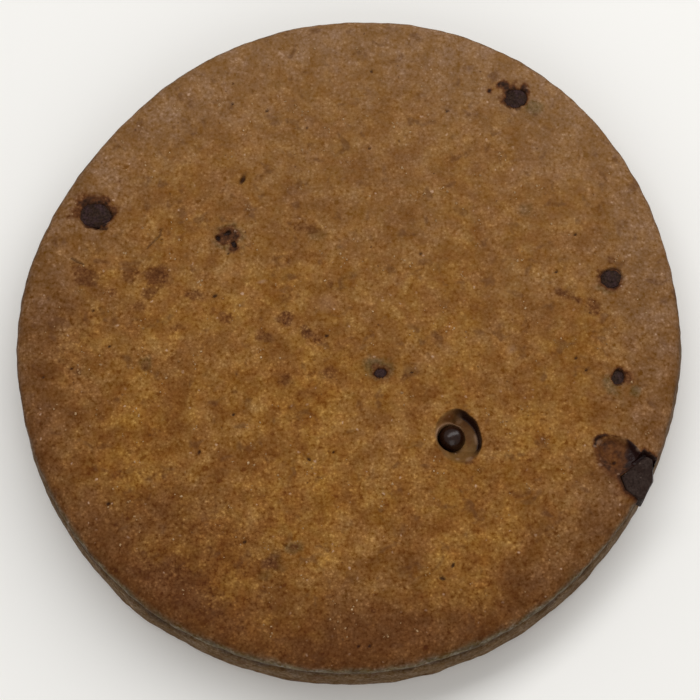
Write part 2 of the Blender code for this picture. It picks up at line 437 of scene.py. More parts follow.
BLUSHES = (
    Blush(-15.5, -21.5, 24.0, 15.0, 0.20, -35.0),
    Blush(-17.0, -27.5, 15.0, 6.0, 0.38, -32.0),
    Blush(-30.0, -1.0, 9.0, 13.0, 0.20, 6.0),
    Blush(-27.3, 13.75, 5.0, 3.9, 0.80, 4.0),
    Blush(17.6, 26.9, 3.7, 3.3, 0.85, 30.0),
    Blush(16.5, 28.1, 1.9, 1.1, 0.85, 10.0),
    Blush(14.96, 27.4, 0.9, 1.1, 0.85),
    Blush(19.6, 25.6, 2.6, 2.2, 0.80, mask=Mask.ASH),
    Blush(27.2, 6.1, 3.1, 2.7, 0.65),
    Blush(26.8, 5.0, 2.2, 1.8, 0.60, mask=Mask.ASH),
    Blush(27.5, 8.1, 1.4, 1.1, 0.40),
    Blush(25.6, 2.9, 2.2, 2.2, 0.50),
    Blush(22.9, 4.1, 2.0, 1.6, 0.35),
    Blush(28.6, -4.8, 2.6, 2.2, 0.60),
    Blush(27.3, -5.6, 2.4, 2.4, 0.75, mask=Mask.ASH),
    Blush(29.8, -6.3, 1.7, 1.4, 0.85, mask=Mask.ASH),
    Blush(2.8, -4.0, 3.6, 2.9, 0.95, -15.0, mask=Mask.ASH),
    Blush(3.05, -4.3, 2.3, 1.9, 0.60),
    Blush(-12.9, 10.5, 3.6, 3.6, 0.90, -15.0, mask=Mask.ASH),
    Blush(-13.0, 10.6, 2.9, 2.6, 0.74, -15.0),
    Blush(-12.3, 9.4, 1.5, 1.6, 0.70, -40.0),
    Blush(-5.9, -23.1, 2.2, 1.8, 0.80, mask=Mask.ASH),
    Blush(-5.8, -23.0, 1.2, 1.0, 0.45),
    Blush(-8.3, -24.7, 2.4, 2.1, 0.55),
    Blush(-7.9, -24.6, 3.0, 2.6, 0.50, mask=Mask.ASH),
    Blush(-21.5, -3.3, 2.2, 1.8, 0.60, mask=Mask.ASH),
    Blush(-27.8, 6.6, 4.0, 2.2, 0.50, -20.0),
    Blush(-20.3, 6.1, 4.0, 2.9, 0.54, 15.0),
    Blush(18.7, 13.6, 2.2, 1.8, 0.45, mask=Mask.ASH),
    Blush(-6.9, -5.2, 2.2, 1.8, 0.40),
    Blush(-2.2, -4.4, 2.0, 1.6, 0.35),
    Blush(-4.5, 11.6, 3.0, 2.0, 0.40),
    Blush(5.6, -4.9, 1.5, 1.0, 0.40, 25.0),
    # Deep patch at the left edge chip's right end: stain and painted shade in its crevice.
    Blush(-26.25, 12.2, 1.5, 1.1, 0.98, -25.0),
    Blush(-25.3, 13.6, 1.1, 2.0, 0.70),
    Blush(-27.1, 14.8, 3.2, 1.3, 0.66),
    Blush(-26.1, 14.8, 1.7, 1.2, 0.68),
    Blush(-29.2, 13.4, 1.4, 1.6, 0.58),
    Blush(-28.8, 15.3, 2.4, 1.5, 0.36),
    Blush(-24.75, 17.0, 1.1, 0.8, 0.36),
    Blush(-30.0, 12.9, 0.9, 0.6, 0.40),
    # Painted glint at the left edge chip's edge.
    Blush(-25.9, 12.3, 0.5, 0.3, 0.60, 20.0, mask=Mask.PALE_AND_GLINT),
    Blush(-28.3, 5.7, 3.0, 1.4, 0.52, -25.0),
    Blush(-25.1, 4.4, 1.3, 1.3, 0.42),
    Blush(-23.3, 6.4, 2.8, 2.0, 0.38),
    Blush(-22.4, 2.8, 1.9, 1.5, 0.32),
    Blush(-21.2, 4.4, 2.2, 1.7, 0.44),
    Blush(-16.6, 4.1, 3.0, 1.8, 0.46, -20.0),
    Blush(-18.0, 0.5, 1.9, 1.2, 0.30),
    Blush(-21.6, -3.5, 1.1, 1.5, 0.36),
    Blush(-13.1, 1.6, 1.9, 1.7, 0.40),
    Blush(-9.1, -0.5, 2.7, 1.6, 0.42, -25.0),
    Blush(-6.8, 1.3, 2.1, 2.3, 0.52),
    Blush(-6.8, 3.6, 1.8, 1.5, 0.32),
    Blush(-4.6, 0.0, 1.7, 1.5, 0.55),
    Blush(-3.2, -0.9, 2.0, 1.5, 0.42, -30.0),
    Blush(-2.2, 5.2, 1.0, 1.3, 0.32),
    Blush(-3.8, 10.8, 2.4, 1.6, 0.45, mask=Mask.ASH),
    Blush(-8.8, -26.0, 1.8, 1.4, 0.45, mask=Mask.ASH),
    Blush(-2.4, 3.0, 2.8, 2.2, 0.13, 20.0, mask=Mask.PALE_AND_GLINT),
    Blush(-9.4, 5.55, 0.9, 0.5, 0.55, 10.0, mask=Mask.PALE_AND_GLINT),
    Blush(16.7, -1.9, 1.5, 1.1, 0.24, mask=Mask.PALE_AND_GLINT),
    Blush(22.1, 4.4, 1.6, 1.0, 0.50, -30.0),
    Blush(23.9, 3.6, 1.6, 1.0, 0.50, -30.0),
    Blush(12.3, -11.4, 0.9, 1.9, 0.38),
    Blush(9.95, -9.3, 1.9, 1.0, 0.55, 20.0),
    # Pale spot, and a painted glint where the round chip meets the floor.
    Blush(11.4, -9.2, 0.8, 0.9, 0.22, mask=Mask.PALE_AND_GLINT),
    Blush(10.9, -12.85, 0.4, 0.3, 0.60, mask=Mask.PALE_AND_GLINT),
    Blush(12.3, -14.1, 1.5, 0.5, 0.45, 15.0),
    Blush(27.5, -17.2, 1.3, 1.0, 0.35),
    # Painted glints in the chunk's scoop.
    Blush(27.7, -15.2, 0.4, 0.3, 0.40, mask=Mask.PALE_AND_GLINT),
    Blush(25.34, -12.27, 0.6, 0.45, 0.55, mask=Mask.PALE_AND_GLINT),
    Blush(25.75, -11.8, 0.9, 0.6, 0.40, 40.0, mask=Mask.PALE_AND_GLINT),
    Blush(25.8, -14.25, 0.7, 0.4, 0.40, -20.0, mask=Mask.PALE_AND_GLINT),
    Blush(29.8, -12.6, 0.5, 0.7, 0.32, 40.0, mask=Mask.PALE_AND_GLINT),
    # Pale spots in the round chip's hollow.
    Blush(11.06, -13.65, 0.7, 0.5, 0.40, mask=Mask.PALE_AND_GLINT),
    Blush(12.31, -13.7, 0.9, 0.6, 0.32, 20.0, mask=Mask.PALE_AND_GLINT),
)


def node_oval(node: str, turn: float = 0.0) -> Oval:
    """Oval of a solid in the frame, seen from above.

    Args:
        node: The solid's name.
        turn: Direction of its width, in degrees.

    Returns:
        Its oval.
    """
    low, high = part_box(node)
    middle = (low + high) / 2.0
    return Oval(middle.x, middle.y, high.x - low.x, high.y - low.y, turn)


@dataclass(frozen=True)
class ChipSeat:
    """How the dough meets one chip: where it opens over it, and where a crevice shows, darkened with
    painted shade.
    """

    node: str
    windows: tuple[Oval, ...] = ()
    spread: float = 0.88
    crevice_bearing: float = -75.0
    crevice: float = 0.30 * MM
    crevice_reach: float = 60.0
    crevice_at: float = 1.10

    def openings(self) -> tuple[Oval, ...]:
        """The ovals where the dough is open: the given ones, or most of the whole chip.

        Returns:
            Those ovals.
        """
        if self.windows:
            return self.windows
        whole = node_oval(self.node)
        return (Oval(whole.x, whole.y, whole.width * self.spread, whole.depth * self.spread),)


SEATS = (
    ChipSeat("chip_left_edge", spread=0.94, crevice_bearing=-108.0, crevice=0.30 * MM,
             crevice_at=1.05),
    ChipSeat("chip_upper_left", (Oval(-14.1 * MM, 10.5 * MM, 0.5 * MM, 0.55 * MM),
                                 Oval(-12.35 * MM, 9.75 * MM, 0.55 * MM, 0.75 * MM, 30.0),
                                 Oval(-13.1 * MM, 11.0 * MM, 0.9 * MM, 0.45 * MM, 20.0)),
             crevice=0.05 * MM),
    ChipSeat("chip_upper_right", spread=0.88, crevice_bearing=-110.0, crevice=0.15 * MM),
    ChipSeat("chip_right", spread=0.90, crevice_bearing=80.0, crevice=0.25 * MM,
             crevice_reach=110.0),
    ChipSeat("chip_lower_right", (Oval(27.95 * MM, -4.85 * MM, 1.35 * MM, 1.75 * MM, -15.0),),
             crevice=0.12 * MM),
    ChipSeat("chip_middle", (Oval(3.1 * MM, -4.45 * MM, 1.45 * MM, 0.95 * MM, 10.0),),
             crevice=0.20 * MM),
)


@dataclass(frozen=True)
class ChunkForm:
    """Size and place of the broken chunk in the edge, with the corners that are knocked off it."""

    size: tuple[float, float, float] = (3.4 * MM, 4.4 * MM, 3.4 * MM)
    direction: float = -27.2
    reach: float = 33.4 * MM
    knocks: tuple[tuple[tuple[float, float], tuple[float, float, float]], ...] = (
        ((0.38, 0.31), (0.89, 0.44, 0.12)),
        ((-0.32, -0.37), (-0.66, -0.74, 0.10)),
        ((-0.29, 0.13), (-0.91, 0.41, 0.10)),
    )

    def local(self, places: np.ndarray) -> tuple[np.ndarray, np.ndarray]:
        """Place points in the chunk's own axes.

        Args:
            places: Points, one row each, in metres.

        Returns:
            Their offsets outward and sideways from its middle, in metres.
        """
        turn = math.radians(self.direction)
        outward = places[:, 0] * math.cos(turn) + places[:, 1] * math.sin(turn) - self.reach
        sideways = places[:, 1] * math.cos(turn) - places[:, 0] * math.sin(turn)
        return outward, sideways

    def distance(self, places: np.ndarray) -> np.ndarray:
        """Distance of each point outside the chunk's outline, negative inside it.

        Args:
            places: Points, one row each, in metres.

        Returns:
            Distances in metres.
        """
        outward, sideways = self.local(places)
        width, depth, _ = self.size
        away = np.maximum(np.abs(outward) - 0.5 * width, np.abs(sideways) - 0.5 * depth)
        for (x, y), (facing_x, facing_y, _) in self.knocks:
            length = math.hypot(facing_x, facing_y)
            past = (outward - x * width) * facing_x + (sideways - y * depth) * facing_y
            away = np.maximum(away, past / length)
        return away


class NodeSheet:
    """Adds shader nodes to one node tree and wires them up."""

    def __init__(self, tree: bpy.types.NodeTree) -> None:
        """Keep the tree that the nodes go into."""
        self.tree = tree

    def add(self, kind: str, **settings: object) -> bpy.types.Node:
        """Add a node.

        Args:
            kind: The node's type name, without the ShaderNode in front.
            **settings: Properties to set on it.

        Returns:
            The new node.
        """
        node = self.tree.nodes.new("ShaderNode" + kind)
        for name, value in settings.items():
            setattr(node, name, value)
        return node

    def feed(self, socket: bpy.types.NodeSocket, value: object) -> None:
        """Link a socket to an input, or set the input to a plain value.

        Args:
            socket: The input.
            value: Socket to link, or value to set.
        """
        if isinstance(value, bpy.types.NodeSocket):
            self.tree.links.new(value, socket)
        else:
            socket.default_value = value

    def math(self, operation: str, first: object, second: object = 0.0,
             clamp: bool = False) -> bpy.types.NodeSocket:
        """Work out one sum.

        Args:
            operation: The Math node's operation.
            first: First number or socket.
            second: Second number or socket.
            clamp: Whether the result is held between 0 and 1.

        Returns:
            The result's socket.
        """
        node = self.add("Math", operation=operation, use_clamp=clamp)
        self.feed(node.inputs[0], first)
        self.feed(node.inputs[1], second)
        return node.outputs[0]

    def mix(self, share: object, first: object, second: object) -> bpy.types.NodeSocket:
        """Mix two colours.

        Args:
            share: How much of the second shows.
            first: First colour or socket.
            second: Second colour or socket.

        Returns:
            The mixed colour's socket.
        """
        node = self.add("Mix", data_type="RGBA", clamp_factor=True)
        self.feed(node.inputs[0], share)
        self.feed(node.inputs[6], first)
        self.feed(node.inputs[7], second)
        return node.outputs[2]

    def scaled(self, vector: object, factor: float) -> bpy.types.NodeSocket:
        """Multiply a vector by a number.

        Args:
            vector: Socket of the vector.
            factor: The number.

        Returns:
            The longer or shorter vector's socket.
        """
        node = self.add("VectorMath", operation="SCALE")
        self.feed(node.inputs[0], vector)
        node.inputs["Scale"].default_value = factor
        return node.outputs[0]

    def shade(self, colour: object, amount: object,
              step: tuple[float, float, float]) -> bpy.types.NodeSocket:
        """Make a colour lighter or darker by some steps, each channel at its own rate.

        Args:
            colour: Colour or socket.
            amount: Number of steps, below 0 for darker.
            step: How much one step adds to each channel, as a share of it.

        Returns:
            The shaded colour's socket.
        """
        scale = self.add("VectorMath", operation="MULTIPLY_ADD")
        self.feed(scale.inputs[0], amount)
        scale.inputs[1].default_value = step
        scale.inputs[2].default_value = (1.0, 1.0, 1.0)
        shaded = self.add("VectorMath", operation="MULTIPLY")
        self.feed(shaded.inputs[0], colour)
        self.feed(shaded.inputs[1], scale.outputs[0])
        return shaded.outputs[0]

    def dots(self, place: object, rate: float, rarity: float, size: float,
             strength: float) -> bpy.types.NodeSocket:
        """Mask of small soft dots in a few cells of a pattern.

        Args:
            place: Position in millimetres.
            rate: Cells for each millimetre.
            rarity: Share of the cells that stay empty.
            size: Radius of a dot, as a share of a cell.
            strength: The mask's value in the middle of a dot.

        Returns:
            The mask's socket.
        """
        away = self.cells(place, rate)
        draw = self.add("SeparateColor")
        self.feed(draw.inputs[0], self.cells(place, rate, "Color"))
        chosen = self.math("GREATER_THAN", draw.outputs[0], rarity)
        uneven = self.math("MULTIPLY", draw.outputs[1], size)
        dot = self.remap(self.math("SUBTRACT", away, uneven), 0.5 * size, -0.5 * size, 0.0, strength)
        return self.math("MULTIPLY", dot, chosen)

    def remap(self, value: object, low: float, high: float, to_low: float = 0.0,
              to_high: float = 1.0) -> bpy.types.NodeSocket:
        """Map a value smoothly from one range to another.

        Args:
            value: Number or socket to map.
            low: Where the range starts.
            high: Where the range ends.
            to_low: Result at low.
            to_high: Result at high.

        Returns:
            The mapped value's socket.
        """
        node = self.add("MapRange", interpolation_type="SMOOTHSTEP", clamp=True)
        self.feed(node.inputs["Value"], value)
        node.inputs["From Min"].default_value = low
        node.inputs["From Max"].default_value = high
        node.inputs["To Min"].default_value = to_low
        node.inputs["To Max"].default_value = to_high
        return node.outputs["Result"]

    def noise(self, place: object, scale: object, detail: float = 2.0, rough: float = 0.5,
              distortion: float = 0.0) -> bpy.types.NodeSocket:
        """Sample noise.

        Args:
            place: Socket of the position.
            scale: Waves for each unit of the position.
            detail: How many finer octaves it has.
            rough: How strong the finer octaves are.
            distortion: How much the pattern is bent.

        Returns:
            The noise value's socket, about 0.5 on average.
        """
        node = self.add("TexNoise", noise_dimensions="3D")
        self.feed(node.inputs["Vector"], place)
        self.feed(node.inputs["Scale"], scale)
        node.inputs["Detail"].default_value = detail
        node.inputs["Roughness"].default_value = rough
        node.inputs["Distortion"].default_value = distortion
        return node.outputs["Fac"]

    def cells(self, place: object, scale: object, output: str = "Distance") -> bpy.types.NodeSocket:
        """Sample a pattern of cells.

        Args:
            place: Socket of the position.
            scale: Cells for each unit of the position.
            output: Distance to the cell's middle, or the cell's Color.

        Returns:
            The socket asked for.
        """
        node = self.add("TexVoronoi", voronoi_dimensions="3D", feature="F1")
        self.feed(node.inputs["Vector"], place)
        self.feed(node.inputs["Scale"], scale)
        return node.outputs[output]

    def bend(self, place: object, rate: float, amount: float) -> bpy.types.NodeSocket:
        """Bend a position unevenly, so that what follows gets ragged borders.

        Args:
            place: Socket of the position.
            rate: Bends for each unit of the position.
            amount: How far it is bent, in the same unit.

        Returns:
            The bent position's socket.
        """
        source = self.add("TexNoise", noise_dimensions="3D")
        self.feed(source.inputs["Vector"], place)
        source.inputs["Scale"].default_value = rate
        centred = self.add("VectorMath", operation="SUBTRACT")
        self.feed(centred.inputs[0], source.outputs["Color"])
        centred.inputs[1].default_value = (0.5, 0.5, 0.5)
        bent = self.add("VectorMath", operation="ADD")
        self.feed(bent.inputs[0], place)
        self.feed(bent.inputs[1], self.scaled(centred.outputs[0], 2.0 * amount))
        return bent.outputs[0]

    def mask(self, mask: Mask) -> bpy.types.NodeSocket:
        """Read one of the mesh's masks."""
        return self.add("Attribute", attribute_name=mask.value).outputs["Fac"]

    def millimetres(self) -> bpy.types.NodeSocket:
        """Position on the piece, in millimetres."""
        return self.scaled(self.add("TexCoord").outputs["Object"], 1.0 / MM)

    def bump(self, height: object, distance: float, strength: float = 1.0,
             normal: object = None) -> bpy.types.NodeSocket:
        """Turn a height into a bumped normal.

        Args:
            height: Socket of the height, from 0 to 1.
            distance: What a height of 1 measures, in metres.
            strength: Share of the effect.
            normal: Normal from a bump below this one, if any.

        Returns:
            The normal's socket.
        """
        node = self.add("Bump")
        node.inputs["Distance"].default_value = distance
        node.inputs["Strength"].default_value = strength
        self.feed(node.inputs["Height"], height)
        if normal is not None:
            self.feed(node.inputs["Normal"], normal)
        return node.outputs["Normal"]


@dataclass(frozen=True)
class EffectGroups:
    """Shader node groups that several finishes share, each built once."""

    speckle: bpy.types.NodeTree
    patches: bpy.types.NodeTree

    @classmethod
    def build(cls) -> "EffectGroups":
        """Build every group."""
        return cls(speckle=cls.speckle_group(), patches=cls.patches_group())

    @staticmethod
    def blank(name: str, numbers: tuple[tuple[str, float], ...],
              outputs: tuple[str, ...]) -> tuple[bpy.types.NodeTree, NodeSheet, bpy.types.Node,
                                                 bpy.types.Node]:
        """Start a group that takes a position and some numbers.

        Args:
            name: The group's name.
            numbers: Name and usual value of each number that it takes.
            outputs: Name of each value that it puts out.

        Returns:
            The group, its sheet, its input node and its output node.
        """
        tree = bpy.data.node_groups.new(name, "ShaderNodeTree")
        tree.interface.new_socket("Position", in_out="INPUT", socket_type="NodeSocketVector")
        for label, usual in numbers:
            socket = tree.interface.new_socket(label, in_out="INPUT", socket_type="NodeSocketFloat")
            socket.default_value = usual
        for label in outputs:
            tree.interface.new_socket(label, in_out="OUTPUT", socket_type="NodeSocketFloat")
        return tree, NodeSheet(tree), tree.nodes.new("NodeGroupInput"), tree.nodes.new("NodeGroupOutput")

    @staticmethod
    def speckle_group() -> bpy.types.NodeTree:
        """Fine grain: a soft light and dark speckle, with the height that goes with it.

        Returns:
            The group.
        """
        tree, sheet, taken, given = EffectGroups.blank(
            "fine_speckle", (("Grains per mm", 3.0), ("Contrast", 1.0)), ("Tone", "Height"))
        place, rate = taken.outputs["Position"], taken.outputs["Grains per mm"]
        soft = sheet.noise(place, rate, detail=3.0, rough=0.75)
        grains = sheet.cells(place, sheet.math("MULTIPLY", rate, 1.2))
        crumbs = sheet.math("SUBTRACT", 1.0, grains)
        blend = sheet.math("ADD", sheet.math("MULTIPLY", soft, 0.76),
                           sheet.math("MULTIPLY", crumbs, 0.24))
        centred = sheet.math("SUBTRACT", blend, 0.51)
        spread = sheet.math("MULTIPLY", centred, taken.outputs["Contrast"])
        sheet.feed(given.inputs["Tone"], sheet.math("ADD", spread, 0.5, clamp=True))
        sheet.feed(given.inputs["Height"], blend)
        return tree

    @staticmethod
    def patches_group() -> bpy.types.NodeTree:
        """Soft uneven patches, as a mask.

        Returns:
            The group.
        """
        tree, sheet, taken, given = EffectGroups.blank(
            "soft_patches", (("Patches per mm", 0.3), ("Threshold", 0.5), ("Softness", 0.12)), ("Mask",))
        shape = sheet.noise(taken.outputs["Position"], taken.outputs["Patches per mm"],
                            detail=2.0, rough=0.5, distortion=0.4)
        above = sheet.math("SUBTRACT", shape, taken.outputs["Threshold"])
        share = sheet.math("DIVIDE", above, taken.outputs["Softness"])
        sheet.feed(given.inputs["Mask"], sheet.math("ADD", share, 0.5, clamp=True))
        return tree

    def place(self, sheet: NodeSheet, group: bpy.types.NodeTree, position: object,
              **numbers: float) -> bpy.types.Node:
        """Put a group into a material.

        Args:
            sheet: The material's sheet.
            group: The group to place.
            position: Socket of the position.
            **numbers: Its numbers, with _ for each space of their names.

        Returns:
            The group's node.
        """
        node = sheet.add("Group", node_tree=group)
        sheet.feed(node.inputs["Position"], position)
        for name, value in numbers.items():
            sheet.feed(node.inputs[name.replace("_", " ")], value)
        return node


def blank_material(name: str) -> tuple[bpy.types.Material, NodeSheet, bpy.types.Node]:
    """Start a material that has only its shader and output.

    Args:
        name: The material's name.

    Returns:
        The material, a sheet on its nodes and its Principled BSDF.
    """
    material = bpy.data.materials.new(name)
    material.use_nodes = True
    return material, NodeSheet(material.node_tree), material.node_tree.nodes["Principled BSDF"]


@dataclass(frozen=True)
class DoughFinish:
    """The baked dough: golden crust, darker at the rim, with a paler side and a toasted underside;
    painted sheen lightens the crust towards the light and painted shade darkens the rim away from it.
    """

    groups: EffectGroups
    golden: Colour = srgb(137, 94, 34)
    ember: Colour = srgb(128, 81, 26)
    tan: Colour = srgb(126, 88, 47)
    russet: Colour = srgb(108, 63, 20)
    # Rim colours: browning, darker away from the light as painted shade, and a paler grey towards it as
    # painted sheen.
    rim_brown_and_shade: Colour = srgb(86, 48, 16)
    sheen_colour: Colour = srgb(127, 93, 60)
    fleck_dark: Colour = srgb(74, 42, 14)
    smudge: Colour = srgb(78, 45, 20)
    glint: Colour = srgb(188, 154, 128)
    lip: Colour = srgb(100, 86, 62)
    worn_lip: Colour = srgb(70, 54, 35)
    brown_lip: Colour = srgb(88, 62, 38)
    groove: Colour = srgb(60, 42, 26)
    base: Colour = srgb(96, 72, 44)
    under: Colour = srgb(128, 88, 44)
    # Stain colours; the deep one also serves as painted shade in the gap beside the left edge chip.
    blush: Colour = srgb(88, 49, 17)
    deep_stain_and_shade: Colour = srgb(36, 21, 14)
    ash: Colour = srgb(90, 76, 50)
    # Painted shade for pores, cracks, crevices and the round chip's lower left edge.
    shaded_pore: Colour = srgb(38, 13, 3)
    # Chocolate lining, also painted shade on walls that face away from the light and in the chunk's
    # crevice.
    chocolate: Colour = srgb(34, 16, 13)
    # Direction towards the light, where the crust is painted paler as painted sheen.
    lit_direction: tuple[float, float] = (0.20, 0.98)
    grey_step: tuple[float, float, float] = (0.170, 0.243, 0.47)
    cool_step: tuple[float, float, float] = (-0.03, 0.0, 0.13)
    lit_range: tuple[float, float] = (-32.0, 36.0)
    grain_range: tuple[float, float] = (1.16, 0.68)
    darkest_grain: float = -2.3
    rim_from_mm: float = 23.5
    rim_to_mm: float = 34.6
    roughness: float = 0.66
    specular: float = 0.13

    def make(self) -> bpy.types.Material:
        """Build the material.

        Returns:
            The finished material.
        """
        material, sheet, shader = blank_material("baked_dough_crust")
        place = sheet.millimetres()
        busy = self.groups.place(sheet, self.groups.patches, place, Patches_per_mm=0.42,
                                 Threshold=0.5, Softness=0.24).outputs["Mask"]
        calm = sheet.remap(sheet.mask(Mask.SMOOTH), 0.0, 1.0, 1.0, 0.2)
        contrast = sheet.math("MULTIPLY", sheet.remap(busy, 0.0, 1.0, 1.7, 2.6), calm)
        fine = self.groups.place(sheet, self.groups.speckle, place, Grains_per_mm=2.5,
                                 Contrast=contrast)
        crust = self.crust_colour(sheet, place)
        side = self.side_colour(sheet, place)
        colour = sheet.mix(sheet.mask(Mask.SKIRT), crust, side)
        colour = sheet.mix(sheet.mask(Mask.UNDERSIDE), colour, self.under)
        colour = self.stains(sheet, fine, colour)
        colour = self.grain(sheet, place, fine, calm, colour)
        colour = self.specks(sheet, place, busy, colour)
        colour = self.marks(sheet, colour)
        sheet.feed(shader.inputs["Base Color"], colour)
        sheet.feed(shader.inputs["Roughness"], self.sheen(sheet, fine))
        sheet.feed(shader.inputs["Normal"], self.grain_normal(sheet, place, fine, calm))
        shader.inputs["Specular IOR Level"].default_value = self.specular
        return material

    def grain(self, sheet: NodeSheet, place: bpy.types.NodeSocket, fine: bpy.types.Node,
              calm: bpy.types.NodeSocket, colour: bpy.types.NodeSocket) -> bpy.types.NodeSocket:
        """Mottle a colour and speckle it with lighter and darker grains and soft dots.

        Args:
            sheet: The material's sheet.
            place: Position in millimetres.
            fine: The node of the fine grain.
            calm: Share of the grain that is left at each point.
            colour: The colour below it.

        Returns:
            The speckled colour.
        """
        tone = fine.outputs["Tone"]
        bent = sheet.bend(place, 2.2, 0.35)
        mottle = sheet.noise(place, 0.42, detail=3.0, rough=0.62, distortion=0.4)
        layers = (
            sheet.remap(mottle, 0.28, 0.72, -1.25, 1.25),
            sheet.remap(tone, 0.05, 0.95, -1.2, 1.2),
            sheet.remap(tone, 0.62, 1.0, 0.0, 2.8),
            sheet.remap(tone, 0.38, 0.0, 0.0, -1.2),
            sheet.dots(bent, 0.85, 0.58, 0.21, 2.6),
            sheet.dots(bent, 0.75, 0.70, 0.22, -2.5),
            sheet.dots(bent, 1.70, 0.72, 0.24, 2.8),
        )
        amount = layers[0]
        for layer in layers[1:]:
            amount = sheet.math("ADD", amount, layer)
        # The grain is stronger away from the lit side and weaker towards it.
        span = sheet.remap(self.toward_lit_side(sheet, place), *self.lit_range, *self.grain_range)
        amount = sheet.math("MULTIPLY", sheet.math("MAXIMUM", amount, self.darkest_grain),
                            sheet.math("MULTIPLY", calm, span))
        level = sheet.shade(colour, amount, self.grey_step)
        cool = sheet.remap(sheet.noise(place, 0.8, detail=1.0), 0.25, 0.75, -1.0, 1.0)
        return sheet.shade(level, cool, self.cool_step)

    def crust_colour(self, sheet: NodeSheet, place: bpy.types.NodeSocket) -> bpy.types.NodeSocket:
        """Colour the top crust: small mottles, russet blotches and a browner rim, painted paler towards
        the lit side as painted sheen and darker on the rim away from it as painted shade.

        Args:
            sheet: The material's sheet.
            place: Position in millimetres.

        Returns:
            The crust's colour.
        """
        groups = self.groups
        small = groups.place(sheet, groups.patches, place, Patches_per_mm=0.55, Threshold=0.5,
                             Softness=0.26)
        blotch = groups.place(sheet, groups.patches, place, Patches_per_mm=0.24, Threshold=0.55,
                              Softness=0.16)
        broad = groups.place(sheet, groups.patches, place, Patches_per_mm=0.11, Threshold=0.5,
                             Softness=0.30)
        colour = sheet.mix(small.outputs["Mask"], self.golden, self.ember)
        colour = sheet.mix(sheet.math("MULTIPLY", broad.outputs["Mask"], 0.5), colour, self.tan)
        colour = sheet.mix(sheet.math("MULTIPLY", blotch.outputs["Mask"], 0.5), colour, self.russet)
        # Painted sheen: paler towards the lit side; on the rim, painted shade away from it.
        toward = self.toward_lit_side(sheet, place)
        colour = sheet.mix(sheet.remap(toward, -14.0, 36.0, 0.0, 0.55), colour, self.sheen_colour)
        return sheet.mix(self.rim_share(sheet, place, broad), colour,
                         sheet.mix(sheet.remap(toward, -38.0, 32.0), self.rim_brown_and_shade, self.sheen_colour))

    def toward_lit_side(self, sheet: NodeSheet, place: bpy.types.NodeSocket) -> bpy.types.NodeSocket:
        """Distance in millimetres towards the lit side, where the crust is painted paler as painted
        sheen.

        Args:
            sheet: The material's sheet.
            place: Position in millimetres.

        Returns:
            The distance's socket.
        """
        split = sheet.add("SeparateXYZ")
        sheet.feed(split.inputs[0], place)
        across, up = self.lit_direction
        return sheet.math("ADD", sheet.math("MULTIPLY", split.outputs["X"], across),
                          sheet.math("MULTIPLY", split.outputs["Y"], up))

    def rim_share(self, sheet: NodeSheet, place: bpy.types.NodeSocket,
                  broad: bpy.types.Node) -> bpy.types.NodeSocket:
        """How much the crust is browned towards its rim, with an uneven border.

        Args:
            sheet: The material's sheet.
            place: Position in millimetres.
            broad: The node of the broad patches.

        Returns:
            The share's socket.
        """
        split = sheet.add("SeparateXYZ")
        sheet.feed(split.inputs[0], place)
        radius = sheet.math("SQRT", sheet.math(
            "ADD", sheet.math("POWER", split.outputs["X"], 2.0),
            sheet.math("POWER", split.outputs["Y"], 2.0)))
        uneven = sheet.math("MULTIPLY", sheet.math("SUBTRACT", broad.outputs["Mask"], 0.5), 4.0)
        return sheet.remap(sheet.math("ADD", radius, uneven), self.rim_from_mm, self.rim_to_mm,
                           0.0, 0.85)

    def side_colour(self, sheet: NodeSheet, place: bpy.types.NodeSocket) -> bpy.types.NodeSocket:
        """Colour of the side: a pale lip, a dark groove and a browner base.

        Args:
            sheet: The material's sheet.
            place: Position in millimetres.

        Returns:
            The side's colour.
        """
        split = sheet.add("SeparateXYZ")
        sheet.feed(split.inputs[0], place)
        wander = sheet.math("MULTIPLY", sheet.math("SUBTRACT", sheet.noise(place, 0.35), 0.5), 2.4)
        height = sheet.math("ADD", split.outputs["Z"], wander)
        colour = sheet.mix(sheet.remap(height, 4.2, 5.6), self.base, self.groove)
        browner = sheet.remap(split.outputs["Y"], -26.0, -12.0)
        worn = sheet.remap(sheet.noise(place, 0.9, detail=3.0, rough=0.7), 0.42, 0.62, 0.0, 0.7)
        lip = sheet.mix(browner, sheet.mix(worn, self.lip, self.worn_lip), self.brown_lip)
        return sheet.mix(sheet.remap(height, 5.6, 6.7), colour, lip)

    def specks(self, sheet: NodeSheet, place: bpy.types.NodeSocket, busy: bpy.types.NodeSocket,
               colour: bpy.types.NodeSocket) -> bpy.types.NodeSocket:
        """Lay soft dark smudges, ragged pale glints and dark specks over a colour.

        Args:
            sheet: The material's sheet.
            place: Position in millimetres.
            busy: Where the crust is most uneven.
            colour: The colour below them.

        Returns:
            The speckled colour.
        """
        smudge = self.groups.place(sheet, self.groups.patches, place, Patches_per_mm=0.62,
                                   Threshold=0.66, Softness=0.12).outputs["Mask"]
        colour = sheet.mix(sheet.math("MULTIPLY", smudge, 0.50), colour, self.smudge)
        bent = sheet.bend(place, 3.0, 0.22)
        many = sheet.remap(busy, 0.0, 1.0, 0.25, 1.0)
        glints = sheet.math("MULTIPLY", sheet.dots(bent, 1.15, 0.74, 0.17, 0.72), many)
        colour = sheet.mix(glints, colour, self.glint)
        return sheet.mix(sheet.dots(bent, 1.35, 0.84, 0.14, 0.75), colour, self.fleck_dark)

